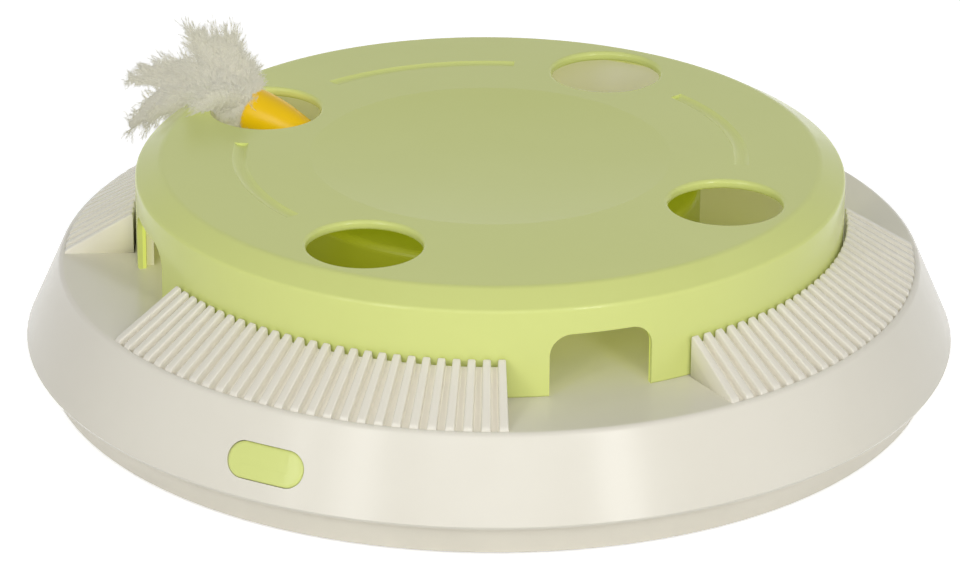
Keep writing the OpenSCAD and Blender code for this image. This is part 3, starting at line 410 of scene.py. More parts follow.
def blank(name: str) -> tuple[bpy.types.Material, Graph, bpy.types.Node]:
    """Starts a material with a Principled shader.

    Args:
        name: Name of the material.

    Returns:
        The material, its graph and its Principled node.
    """
    material = bpy.data.materials.new(name)
    material.use_nodes = True
    return material, Graph(material.node_tree), material.node_tree.nodes["Principled BSDF"]


@dataclass(frozen=True)
class Moulded:
    """Moulded plastic or rubber, with flow marks, satin grain and dust in its low places.

    Thin plastic can glow on its inner side, let lamp light pass, and be painted paler where a gap attribute
    says: painted light that stands for light through thin ribs.
    """

    name: str
    colour: Rgb
    flow_colour: Rgb
    flow: float = 0.5
    rough: float = 0.32
    spread: float = 0.1
    grain: float = 0.04
    grain_scale: float = 1100.0
    grain_depth: float = 0.4 * MM
    coat: float = 0.0
    coat_rough: float = 0.12
    specular: float = 0.5
    through: Rgb | None = None
    passes: Rgb | None = None
    # Painted light: a paler colour painted where the gap attribute rises, between a ramp's ribs.
    gap_light_colour: Rgb | None = None
    dust: float = 0.0
    dust_top: float = 12 * MM

    def material(self, effects: Effects) -> bpy.types.Material:
        """Builds the material.

        Args:
            effects: The shared node groups.

        Returns:
            The finished material.
        """
        material, graph, shader = blank(self.name)
        skin = effects.skin.place(
            graph, Colour=linear(self.colour), Flow_Colour=linear(self.flow_colour), Flow=self.flow,
            Roughness=self.rough, Spread=self.spread, Grain_Scale=self.grain_scale,
        )
        colour = skin["Colour"]
        # Painted light: the floors between the ribs are painted paler as the gap attribute rises.
        if self.gap_light_colour:
            colour = graph.blend(graph.attribute("gap"), colour, linear(self.gap_light_colour))
        if self.dust > 0:
            colour = effects.dust.place(graph, Colour=colour, High=self.dust_top, Amount=self.dust)["Colour"]
        graph.feed(
            shader, Base_Color=colour, Roughness=skin["Roughness"], Specular_IOR_Level=self.specular,
            Normal=graph.bump(skin["Height"], self.grain, self.grain_depth),
            Coat_Weight=self.coat, Coat_Roughness=self.coat_rough,
        )
        if self.through:
            glow = effects.through.place(graph, Colour=linear(self.through))["Glow"]
            graph.feed(shader, Emission_Color=glow, Emission_Strength=1.0)
        if self.passes:
            film = graph.add("ShaderNodeBsdfTransparent", Color=linear(self.passes))
            lamp_ray = graph.add("ShaderNodeLightPath").outputs["Is Shadow Ray"]
            both = graph.add("ShaderNodeMixShader", in0=lamp_ray, in1=shader.outputs[0], in2=film.outputs[0])
            graph.feed(material.node_tree.nodes["Material Output"], Surface=both.outputs[0])
        return material


@dataclass(frozen=True)
class Metal:
    """Bare metal with drawn or turned lines."""

    name: str
    colour: Rgb
    dull_colour: Rgb
    rough: float = 0.3
    spread: float = 0.2
    lines: float = 0.08
    line_depth: float = 0.2 * MM

    def material(self, effects: Effects) -> bpy.types.Material:
        """Builds the material.

        Args:
            effects: The shared node groups.

        Returns:
            The finished material.
        """
        material, graph, shader = blank(self.name)
        drawn = effects.drawn.place(
            graph, Colour=linear(self.colour), Dull_Colour=linear(self.dull_colour),
            Roughness=self.rough, Spread=self.spread,
        )
        graph.feed(
            shader, Base_Color=drawn["Colour"], Roughness=drawn["Roughness"], Metallic=1.0,
            Normal=graph.bump(drawn["Height"], self.lines, self.line_depth),
        )
        return material


@dataclass(frozen=True)
class Down:
    """Down: matt, soft fibres that differ barb by barb and are painted a little darker towards the tips:
    painted shade that evens out the brighter light on the plume's outer parts.
    """

    name: str
    root_colour: Rgb
    shaded_tip_colour: Rgb
    tone_colour: Rgb
    tone_share: float = 0.55
    rough: tuple[float, float] = (0.8, 0.95)
    specular: float = 0.2
    sheen: float = 0.3
    sheen_rough: float = 0.6

    def material(self, effects: Effects) -> bpy.types.Material:
        """Builds the material from the plume's own attributes, along and tone.

        Args:
            effects: The shared node groups; down uses none of them.

        Returns:
            The finished material.
        """
        material, graph, shader = blank(self.name)
        tone = graph.attribute("tone")
        colour = graph.blend(graph.attribute("along"), linear(self.root_colour), linear(self.shaded_tip_colour))
        depth = graph.math("MULTIPLY", tone, self.tone_share)
        graph.feed(
            shader, Base_Color=graph.blend(depth, colour, linear(self.tone_colour)),
            Roughness=graph.span(tone, 0.0, 1.0, *self.rough), Specular_IOR_Level=self.specular,
            Sheen_Weight=self.sheen, Sheen_Roughness=self.sheen_rough,
        )
        return material


FINISHES: dict[Slot, Moulded | Metal | Down] = {
    Slot.BASE: Moulded(
        "warm_white_plastic", (223, 219, 206), (219, 214, 200), rough=0.22, grain=0.01, specular=0.25,
        # The gap colour is painted light: the floors between the ramp's ribs are painted paler.
        gap_light_colour=(241, 236, 222), dust=0.12, dust_top=20 * MM,
    ),
    Slot.TRAY: Moulded(
        "satin_white_plastic", (224, 219, 204), (217, 212, 196), rough=0.42, grain=0.06, specular=0.3,
        dust=0.2,
    ),
    Slot.COVER: Moulded(
        "yellow_green_plastic", (210, 218, 134), (207, 215, 129), rough=0.17, grain=0.0, specular=0.2,
        through=(106, 112, 10), passes=(238, 238, 214),
    ),
    Slot.ROTOR: Moulded("deep_green_plastic", (154, 160, 36), (148, 154, 31), rough=0.4, specular=0.25),
    Slot.SLEEVE: Moulded(
        "yellow_rubber", (240, 196, 0), (234, 186, 0), rough=0.36, grain=0.02, spread=0.15, specular=0.3
    ),
    # The tip colour is painted shade: darker than the root colour, to even out the light on the plume's
    # outer parts.
    Slot.PLUME: Down("white_down", (230, 227, 211), (221, 219, 206), (186, 182, 164)),
    Slot.STEEL: Metal("bright_steel", (198, 200, 204), (164, 166, 170)),
    Slot.BRASS: Metal("turned_brass", (212, 178, 104), (170, 138, 78), rough=0.26),
    Slot.GEAR: Moulded("natural_acetal", (238, 238, 233), (228, 228, 221), rough=0.45, grain=0.06),
    Slot.BOARD: Moulded(
        "green_laminate", (44, 108, 66), (34, 92, 56), flow=0.8, rough=0.4, grain=0.12, grain_scale=500.0
    ),
    Slot.BLACK: Moulded("black_plastic", (34, 34, 36), (44, 44, 46), rough=0.48, grain=0.1),
    Slot.CELL: Moulded("grey_jacket", (74, 78, 86), (62, 66, 74), rough=0.26, coat=0.3),
    Slot.BATTERY_WIRE: Moulded("red_insulation", (190, 46, 40), (176, 38, 34), rough=0.42),
    Slot.MOTOR_WIRE: Moulded("black_insulation", (36, 36, 38), (46, 46, 48), rough=0.45),
    Slot.FOOT: Moulded(
        "black_rubber", (40, 40, 41), (52, 52, 52), rough=0.75, grain=0.2, grain_scale=700.0,
        dust=0.4, dust_top=4 * MM,
    ),
}


class Wardrobe:
    """Builds each finish once and puts it on pieces and CAD nodes."""

    def __init__(self) -> None:
        """Builds the shared effects and all finishes."""
        effects = Effects()
        self.made = {slot: finish.material(effects) for slot, finish in FINISHES.items()}

    def dress_nodes(self) -> int:
        """Gives every CAD node the finish of its slot in the record.

        Returns:
            How many nodes were dressed.
        """
        subparts = frame["record"]["subparts"]
        for part in subparts:
            node = frame["nodes"][part["node"]]
            for place in node.material_slots:
                place.material = self.made[Slot(part["material_slot"])]
        return len(subparts)

    def dress_piece(self, piece: bpy.types.Object, slot: Slot, body: Body, node: str) -> None:
        """Finishes a new piece that stands for a CAD node, and lets it ride on its body.

        Args:
            piece: The new piece.
            slot: Its slot in the record.
            body: The CAD body that carries it.
            node: The CAD node that it stands for.
        """
        piece.data.materials.append(self.made[slot])
        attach(piece, body.value)
        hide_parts(node)


@dataclass
class Wand:
    """The line that the feather's wand follows: out of the drum, up through a hole of the cover."""

    turn: float = math.radians(132)
    pitch: float = math.radians(11.5)
    start: float = 61.0 * MM
    height: float = 58.8 * MM
    sleeve_from: float = 3.566 * MM
    sleeve_to: float = 23.566 * MM

    @property
    def out(self) -> Array:
        """Unit vector level away from the toy's axis."""
        return np.array([math.cos(self.turn), math.sin(self.turn), 0.0])

    @property
    def beside(self) -> Array:
        """Unit vector level across the wand."""
        return np.array([-math.sin(self.turn), math.cos(self.turn), 0.0])

    @property
    def up(self) -> Array:
        """Unit vector upright."""
        return np.array([0.0, 0.0, 1.0])

    @property
    def ahead(self) -> Array:
        """Unit vector along the wand."""
        return math.cos(self.pitch) * self.out + math.sin(self.pitch) * self.up

    @property
    def over(self) -> Array:
        """Unit vector across the wand in its upright plane."""
        return np.cross(self.ahead, self.beside)

    def at(self, along: Array | float) -> Array:
        """Points on the wand's line, at distances along it from its reference point."""
        foot = self.start * self.out + self.height * self.up
        return foot + np.asarray(along)[..., None] * self.ahead


@dataclass
class Sleeve:
    """The yellow rubber sleeve: a turned skin that swells towards the feather."""

    wand: Wand
    thin: float = 4.2 * MM
    thick: float = 7.2 * MM
    edge_in: tuple[float, float] = (0.6 * MM, 0.15 * MM)
    edge_up: tuple[float, float] = (0.05 * MM, 0.2 * MM)
    lip: float = 1.9 * MM
    lip_in: float = 2.47 * MM
    lip_steps: int = 13
    proud: float = 1.2 * MM
    bore: float = 2.4 * MM
    recess: float = 2.2 * MM
    sides: int = 72
    steps: int = 40

    def build(self) -> bpy.types.Object:
        """Builds the sleeve.

        A profile of radius and distance along the wand is turned round the wand. The radius swells as
        a quarter sine, ends in a rounded lip, and goes back into a shallow recess round the quills.

        Returns:
            The sleeve.
        """
        length = self.wand.sleeve_to - self.wand.sleeve_from + self.proud
        share = np.linspace(0, 1, self.steps)
        body_r = self.thin + (self.thick - self.thin) * np.sin(np.pi / 2 * share)
        body_s = share * (length - self.lip) + self.edge_up[1] * (1 - share)
        turn = np.linspace(0, np.pi, self.lip_steps + 1)[1:]
        lip_r = self.thick - self.lip_in * (1 - np.cos(turn)) / 2
        lip_s = length - self.lip + self.lip * np.sin(turn)
        start_r = np.array([self.bore, *(self.thin - np.array(self.edge_in))])
        start_s = np.array([0.0, 0.0, self.edge_up[0]])
        radius = np.concatenate([start_r, body_r, lip_r, [self.bore]])
        place = np.concatenate([start_s, body_s, lip_s, [length - self.lip - self.recess]])
        angle = around(self.sides)
        spoke = np.cos(angle)[:, None] * self.wand.beside + np.sin(angle)[:, None] * self.wand.over
        rings = self.wand.at(self.wand.sleeve_from + place)[:, None] + radius[:, None, None] * spoke
        return new_piece("sleeve", *swept_skin(rings))


@dataclass
class Ramp:
    """One ribbed ramp: a wedge whose ribs have round shoulders and soft ends.

    The toe is how high the foot of a rib's flank stands over the gap, and the flank how far it leans out.
    """

    node: str
    turn: float
    inner: float = 107.0 * MM
    outer: float = 127.82 * MM
    deck_r: float = 129.1 * MM
    deck: float = 36.3 * MM
    floor: float = 33.45 * MM
    rise: float = 13.0 * MM
    span: float = math.radians(60.14)
    ribs: int = 27
    rib_w: float = 2.2 * MM
    rib_h: float = 2.8 * MM
    shoulder: float = 0.5 * MM
    bow: tuple[float, ...] = (0.0, 25.0, 45.0, 65.0, 85.0)
    flank: tuple[float, ...] = (0.06 * MM, 0.14 * MM, 0.28 * MM, 0.5 * MM)
    toe: tuple[float, ...] = (0.3 * MM, 0.07 * MM, 0.0)
    end_round: float = 0.8 * MM
    end_steps: int = 5
    # Share of the painted gap light that the ribs' tops keep.
    top_light_share: float = 0.2
    steps: int = 22

    @property
    def rib_angle(self) -> float:
        """Angle that a rib takes up, seen from the toy's axis."""
        return self.rib_w / self.inner

    def _stations(self) -> tuple[Array, Array, Array, Array]:
        """Lists the lines that run up the ramp, from one end to the other.

        A line is given by the rib that it belongs to and by its distance from that rib's middle: a share
        of the half width and a fixed part. Each has a drop below the rib's top. The ramp ends at the
        shoulders of its outermost ribs.

        Returns:
            Rib directions, shares of the half width, fixed parts and drops, all one number a line.
        """
        bow = np.radians(self.bow)
        fixed = np.array([0.0, *(-self.shoulder * (1 - np.sin(bow))), *self.flank])
        drop = np.array([
            0.0, *(self.shoulder * (1 - np.cos(bow))), (self.shoulder + self.rib_h) / 2,
            *(self.rib_h - np.array(self.toe)),
        ])
        half = len(fixed) - 1
        share = np.array([0.0, *np.ones(half)])
        side = np.concatenate([-np.ones(half), np.ones(half + 1)])
        order = np.concatenate([np.arange(half, 0, -1), np.arange(half + 1)])
        middles = (np.arange(self.ribs) / (self.ribs - 1) - 0.5) * (self.span - self.rib_angle)
        ends = slice(len(self.flank), -len(self.flank))
        one_rib = (share[order] * side, fixed[order] * side, drop[order])
        return np.repeat(middles, len(order))[ends], *(np.tile(line, self.ribs)[ends] for line in one_rib)

    def build(self) -> bpy.types.Object:
        """Builds the ramp.

        Each line's section is a closed wedge of radius and height: floor, outer wall, then the slope
        deck + fall * (deck_r - r) less the line's drop, with a quarter round at its ends. The sections
        follow one another round the toy's axis. The gap attribute grows from a rib's top to the floor
        between two ribs, where the colour is painted paler: painted light that stands for light through
        the thin ribs.

        Returns:
            The ramp.
        """
        rib, share, fixed, drop = self._stations()
        ends = self.end_round * (1 - np.cos(np.linspace(0, np.pi / 2, self.end_steps)))
        slope = np.linspace(self.outer - 2 * self.end_round, self.inner + 2 * self.end_round, self.steps)
        r = np.concatenate([self.outer - ends, slope, (self.inner + ends)[::-1]])
        near = np.minimum(np.minimum(r - self.inner, self.outer - r), self.end_round)
        soft = self.end_round - np.sqrt(np.maximum(self.end_round ** 2 - (self.end_round - near) ** 2, 0))
        valley = self.deck + self.rise / (self.deck_r - self.inner) * (self.deck_r - r) - self.rib_h
        top = valley + np.maximum(self.rib_h - drop[:, None] - soft, 0)
        radius = np.concatenate([[self.inner, self.outer], r])
        height = np.concatenate([np.full((len(rib), 2), self.floor), top], 1)
        half = radius * self.rib_angle / 2
        angle = self.turn + rib[:, None] + (share[:, None] * half + fixed[:, None]) / radius
        rings = np.stack([radius * np.cos(angle), radius * np.sin(angle), height], -1)
        # The gap attribute sets where the colour is painted paler between the ribs: painted light.
        gap = self.top_light_share + (1 - self.top_light_share) * drop / self.rib_h
        return new_piece(self.node + "_ribbed", *swept_skin(rings), gap=np.repeat(gap, len(radius)))


@dataclass
class Button:
    """The power button: stem, flange and a soft-edged pill cap that follows the skirt."""

    turn: float = math.radians(225)
    skirt_r: float = 135.411 * MM
    height: float = 22.0 * MM
    slope: float = math.radians(23.811)
    length: float = 24.4 * MM
    width: float = 10.6 * MM
    flange: float = 1.3 * MM
    flange_depth: float = 3.52 * MM
    flange_t: float = 1.2 * MM
    neck_depth: float = 2.4 * MM
    rim_depth: float = 1.3 * MM
    stem_r: float = 2.2 * MM
    stem_depth: float = 10.48 * MM
    stem_pole: float = 0.01 * MM
    proud: float = 0.15 * MM
    tilt: float = 0.05
    edge: float = 0.9 * MM
    edge_steps: int = 8
    face_end: float = 1.0 * MM
    face_rings: int = 6
    sides: int = 96

    def build(self) -> bpy.types.Object:
        """Builds the button.

        Rings of pill shape follow one another outwards from the stem to the middle of the face. A pill
        is all the points at one distance from a straight spine. The face bends with the skirt's cone,
        leans by a small tilt, and falls at its edge as a quarter circle.

        Returns:
            The button.
        """
        spine, round_r = (self.length - self.width) / 2, self.width / 2
        wide, low = round_r + self.flange, -self.flange_depth
        back, end = low - self.flange_t, -self.stem_depth
        bow = np.linspace(0, np.pi / 2, self.edge_steps)
        edge = zip(round_r - self.edge * (1 - np.cos(bow)), -self.edge * (1 - np.sin(bow)))
        face = np.linspace(round_r - self.edge, self.face_end, self.face_rings + 1)[1:]
        stem = [(self.stem_pole, end), (self.stem_r, end), (self.stem_r, back), (self.stem_r, back)]
        neck = [(wide, back), (wide, low), (round_r, low), (round_r, -self.neck_depth)]
        cap = [(round_r, -self.rim_depth), *edge, *((r, 0.0) for r in face)]
        reach, depth = np.array(stem + neck + cap).T
        ring = np.arange(len(reach))[:, None]
        stretch, on_face = ring >= len(stem), ring >= len(stem + neck)
        angle = around(self.sides)
        down = reach[:, None] * np.cos(angle)
        along = reach[:, None] * np.sin(angle) + stretch * spine * np.sign(np.sin(angle))
        bend = along ** 2 / 2 / (self.skirt_r / math.cos(self.slope))
        out = depth[:, None] + on_face * (self.proud + self.tilt * down - bend)
        away = self.skirt_r + math.cos(self.slope) * out + math.sin(self.slope) * down
        rise = self.height + math.sin(self.slope) * out - math.cos(self.slope) * down
        x = away * math.cos(self.turn) - along * math.sin(self.turn)
        y = away * math.sin(self.turn) + along * math.cos(self.turn)
        return new_piece("button_cap", *swept_skin(np.stack([x, y, rise], -1)))


@dataclass
class Tuft:
    """Part of a feather's mesh: points, triangles and the two numbers that its colour follows."""

    points: Array
    triangles: Array
    along: Array
    tone: Array


@dataclass(frozen=True)
class Fibre:
    """One kind of fibre: radius at its start, rings of points before its tip, and paleness at its start.

    The helper direction sets where a fibre's first side faces.
    """

    radius: float
    rings: int
    pale: float
    helper: Place = (0.31, 0.52, 0.79)


@dataclass
class Bunch:
    """Fibres by their middle lines: start + length * (lean * s + bend * s * s), for s from 0 to 1."""

    start: Array
    lean: Array
    bend: Array
    length: Array
    tone: Array

    def skin(self, fibre: Fibre) -> Tuft:
        """Builds the fibres as tapered three-sided strands.

        Three points stand round the middle line at each ring, the radius falls as the square root of
        1 - s, and one point closes the tip.

        Args:
            fibre: The kind of fibre.

        Returns:
            The strands.
        """
        rings, sides = fibre.rings, 3
        share = np.linspace(0, 1, rings + 1)
        s = share[:, None]
        path = self.lean[:, None] * s + self.bend[:, None] * s ** 2
        line = self.start[:, None] + self.length[:, None, None] * path
        tangent = unit(self.lean[:, None] + 2 * self.bend[:, None] * s)
        across = unit(np.cross(tangent, np.array(fibre.helper)))[:, :-1, None]
        other = np.cross(tangent[:, :-1, None], across)
        angle = around(sides)[:, None]
        thick = fibre.radius * np.sqrt(1 - share[:-1])[:, None, None]
        rim = line[:, :-1, None] + thick * (across * np.cos(angle) + other * np.sin(angle))
        count, last, end = len(line), (rings - 1) * sides, rings * sides
        points = np.concatenate([rim.reshape(count, end, 3), line[:, -1:]], 1)
        tip = np.array([[last, last + 1, end], [last + 1, last + 2, end], [last + 2, last, end]])
        one = np.concatenate([grid_triangles(rings, sides), tip, [[0, 2, 1]]])
        triangles = one + (np.arange(count) * (end + 1))[:, None, None]
        along = fibre.pale + (1 - fibre.pale) * np.append(np.repeat(share[:-1], sides), 1.0)
        tone = np.repeat(self.tone, end + 1)
        return Tuft(points.reshape(-1, 3), triangles.reshape(-1, 3), np.tile(along, count), tone)


@dataclass(frozen=True)
class Feather:
    """One feather: a shaft, a soft web round it, and barbs in pointed tufts that carry fine barbules.

    The shaft is a quadratic curve from a root past a bend to a tip. These places are distances out from
    the sleeve's end, to the side and up, and they and the half width are in millimetres. The web swells
    from the root as a sine to a power and tapers near the tip. A ripple of it has a pitch and a depth.
    Any other pair of numbers gives the limits between which chance sets a share. Spins, slips, curls and
    scatters are the spread of a bell curve.
    """

    name: str
    by: Place
    tip: Place
    half_width: float
    tufts: int
    seed: int
    root: Place = (-0.5, 0.0, 0.3)
    least: float = 0.12
    swell_from: float = 0.06
    swell_span: float = 0.86
    fullness: float = 0.75
    taper: float = 0.6
    taper_from: float = 0.8
    web_share: float = 0.78
    web_flat: float = 0.55
    web_rows: int = 90
    web_cols: int = 40
    # Painted shade: how much darker the web is painted than its down, and how much more in its ripple dips.
    web_painted_shade: float = 0.94
    web_dip_shade: float = 0.8
    web_pale: float = 0.3
    web_pale_gain: float = 0.5
    ripples: tuple[tuple[float, float], ...] = (
        (1.0, 0.03), (1.7, 0.03), (2.9, 0.025), (4.3, 0.02), (6.1, 0.015), (8.3, 0.01)
    )
    ripple_rows: float = 34.0
    ripple_slant: float = 2.4
    tuft_from: float = 0.08
    tuft_spin: float = 0.6
    tuft_least: float = 0.35
    tuft_reach: tuple[float, float] = (0.95, 1.4)
    tuft_lead: float = 0.25
    tuft_lead_gain: float = 0.65
    tuft_lead_share: tuple[float, float] = (0.8, 1.3)
    tuft_scatter: float = 0.9 * MM
    barb: Fibre = Fibre(0.084 * MM, rings=4, pale=0.3)
    barbs: int = 9
    barb_slip: float = 0.05
    barb_spin: float = 0.45
    barb_foot: float = 0.7
    barb_reach: tuple[float, float] = (0.7, 1.05)
    barb_curl: float = 0.14
    barb_sag: float = 0.06
    barb_tone: float = 0.5
    barbule: Fibre = Fibre(0.06 * MM, rings=2, pale=0.45)
    barbules: int = 12
    barbule_len: float = 2.2 * MM
    barbule_crowd: float = 0.8
    barbule_ahead: float = 0.8
    barbule_ahead_gain: float = 0.8
    barbule_aside: float = 0.8
    barbule_aside_loss: float = 0.35
    barbule_short: float = 0.5
    barbule_curl: float = 0.2
    barbule_tone: float = 0.2
    barbule_tone_kept: float = 0.6
    nap_hair: Fibre = Fibre(0.06 * MM, rings=2, pale=0.5)
    nap: int = 1800
    nap_len: float = 1.7 * MM
    nap_sunk: float = 0.96
    nap_rise: float = 0.45
    nap_scatter: float = 0.4
    nap_curl: float = 0.25
    nap_tone: float = 0.6
    first_foot: float = 0.02
    hair_len: tuple[float, float] = (0.5, 1.2)

    @property
    def curve(self) -> Array:
        """Root, bend and tip of the shaft in metres."""
        return np.array([self.root, self.by, self.tip], float) * MM

    def at(self, t: Array) -> Array:
        """Points on the shaft, for t from 0 to 1."""
        (root, by, tip), t = self.curve, t[..., None]
        return (1 - t) ** 2 * root + 2 * t * (1 - t) * by + t ** 2 * tip

    def bulge(self, t: Array) -> Array:
        """Half width along the shaft.

        Args:
            t: Places on the shaft, from 0 to 1.

        Returns:
            Shares of the greatest half width.
        """
        swell = np.sin(np.pi * np.clip(self.swell_from + self.swell_span * t, 0, 1)) ** self.fullness
        taper = 1 - self.taper * np.clip(t - self.taper_from, 0, 1) / (1 - self.taper_from)
        return self.least + (1 - self.least) * swell * taper

    def web(self, t: Array) -> Array:
        """Half width of the web in metres, as a column."""
        return self.web_share * self.half_width * MM * self.bulge(t)[..., None]

    def radial(self, t: Array, spin: Array) -> tuple[Array, Array]:
        """Directions along and away from the shaft, the latter as long as the web is round.

        Args:
            t: Places on the shaft, from 0 to 1.
            spin: Angles round it.

        Returns:
            The directions along the shaft and those away from it.
        """
        (root, by, tip), t, spin = self.curve, t[..., None], spin[..., None]
        ahead = unit((1 - t) * (by - root) + t * (tip - by))
        wide = unit(np.cross(ahead, np.array([0.0, 1.0, 0.0])))
        return ahead, np.cos(spin) * wide + self.web_flat * np.sin(spin) * np.cross(ahead, wide)

    def build(self) -> dict[str, list[Tuft]]:
        """Builds the feather's two parts: its web, and the down on it.

        Returns:
            The tufts of each part, in the sleeve's own directions.
        """
        dice = np.random.default_rng(self.seed)
        web = self._web(dice)
        barbs = self._barbs(dice)
        barbules = self._barbules(barbs, dice)
        nap = self._nap(dice)
        down = [barbs.skin(self.barb), barbules.skin(self.barbule), nap.skin(self.nap_hair)]
        return {"web": [web], "down": down}

    def _web(self, dice: np.random.Generator) -> Tuft:
        """Builds the soft body of the feather.

        A flattened round section is carried along the shaft. Its width swells and falls with the bulge,
        and ripples that slant like the barbs make the skin uneven. Its colour is painted darker than the
        down's, and darker still in the ripples' dips: painted shade.

        Args:
            dice: The feather's source of chance.

        Returns:
            The web.
        """
        u, angle = np.linspace(0, 1, self.web_rows), around(self.web_cols)
        pitch, depth = np.array(self.ripples).T
        slant = u[:, None] * self.ripple_rows - self.ripple_slant * np.abs(np.cos(angle))
        phase = dice.uniform(0, 2 * np.pi, len(pitch))
        waves = np.sin(slant[..., None] * pitch + phase + np.sign(np.cos(angle))[:, None] * phase[::-1])
        ripple = waves @ depth
        rim = self.radial(*np.broadcast_arrays(u[:, None], angle))[1]
        size = self.web(u) * (1 + ripple)
        points, triangles = swept_skin(self.at(u)[:, None] + size[..., None] * rim)
        # Painted shade: the web is painted darker than its down, and darker still where the ripples dip.
        tone = np.clip(self.web_painted_shade - self.web_dip_shade * ripple, 0, 1)
        along = self.web_pale + self.web_pale_gain * u
        return Tuft(points, triangles, np.repeat(along, self.web_cols), tone.ravel())

    def _barbs(self, dice: np.random.Generator) -> Bunch:
        """Lays out the barbs, which meet in pointed tufts past the web's rim.

        Args:
            dice: The feather's source of chance.

        Returns:
            The barbs.
        """
        order = np.arange(self.tufts)
        middle = self.tuft_from + (1 - self.tuft_from) * (order + dice.random(self.tufts)) / self.tufts
        side = np.pi * (order % 2) + dice.normal(0, self.tuft_spin, self.tufts)
        ahead, radial = self.radial(middle, side)
        spread = np.clip(self.bulge(middle), self.tuft_least, 1) * dice.uniform(*self.tuft_reach, self.tufts)
        lead = self.tuft_lead + self.tuft_lead_gain * middle ** 2
        lead = lead * dice.uniform(*self.tuft_lead_share, self.tufts)
        point = self.at(middle) + self.half_width * MM * (spread[:, None] * radial + lead[:, None] * ahead)

        owner = np.repeat(order, self.barbs)
        count = len(owner)
        t = np.clip(middle[owner] + dice.normal(0, self.barb_slip, count), self.first_foot, 1)
        spin = side[owner] + dice.normal(0, self.barb_spin, count)
        start = self.at(t) + self.barb_foot * self.web(t) * self.radial(t, spin)[1]
        end = point[owner] + dice.normal(0, self.tuft_scatter, (count, 3))
        reach = np.linalg.norm(end - start, axis=-1) * dice.uniform(*self.barb_reach, count)
        curl = dice.normal(0, self.barb_curl, (count, 3)) - np.array([0.0, 0.0, self.barb_sag])
        return Bunch(start, unit(end - start) - curl, curl, reach, dice.uniform(0, self.barb_tone, count))

    def _barbules(self, barbs: Bunch, dice: np.random.Generator) -> Bunch:
        """Lays out the barbules, which stand on the barbs and lean towards their tips.

        Args:
            barbs: The barbs.
            dice: The feather's source of chance.

        Returns:
            The barbules.
        """
        pick = np.repeat(np.arange(len(barbs.start)), self.barbules)
        count = len(pick)
        lean, bend = barbs.lean[pick], barbs.bend[pick]
        s = dice.random((count, 1)) ** self.barbule_crowd
        foot = barbs.start[pick] + barbs.length[pick, None] * (lean * s + bend * s ** 2)
        line = unit(lean + 2 * bend * s)
        loose = dice.standard_normal((count, 3))
        aside = unit(loose - np.sum(loose * line, -1, keepdims=True) * line)
        onward = self.barbule_ahead + self.barbule_ahead_gain * s
        outward = self.barbule_aside - self.barbule_aside_loss * s
        size = self.barbule_len * dice.uniform(*self.hair_len, count) * (1 - self.barbule_short * s[:, 0])
        sway = dice.normal(0, self.barbule_curl, (count, 3)) + self.barbule_curl * line
        tone = self.barbule_tone_kept * barbs.tone[pick] + dice.uniform(0, self.barbule_tone, count)
        return Bunch(foot, unit(line * onward + aside * outward), sway, size, tone)

    def _nap(self, dice: np.random.Generator) -> Bunch:
        """Lays out the short fibres that lie on the web and make its skin soft.

        Args:
            dice: The feather's source of chance.

        Returns:
            The fibres.
        """
        t, spin = dice.uniform(self.first_foot, 1, self.nap), dice.uniform(0, 2 * np.pi, self.nap)
        ahead, radial = self.radial(t, spin)
        lean = unit(self.nap_rise * unit(radial) + ahead + dice.normal(0, self.nap_scatter, (self.nap, 3)))
        bend = dice.normal(0, self.nap_curl, (self.nap, 3))
        length = self.nap_len * dice.uniform(*self.hair_len, self.nap)
        foot = self.at(t) + self.nap_sunk * self.web(t) * radial
        return Bunch(foot, lean, bend, length, dice.uniform(0, self.nap_tone, self.nap))


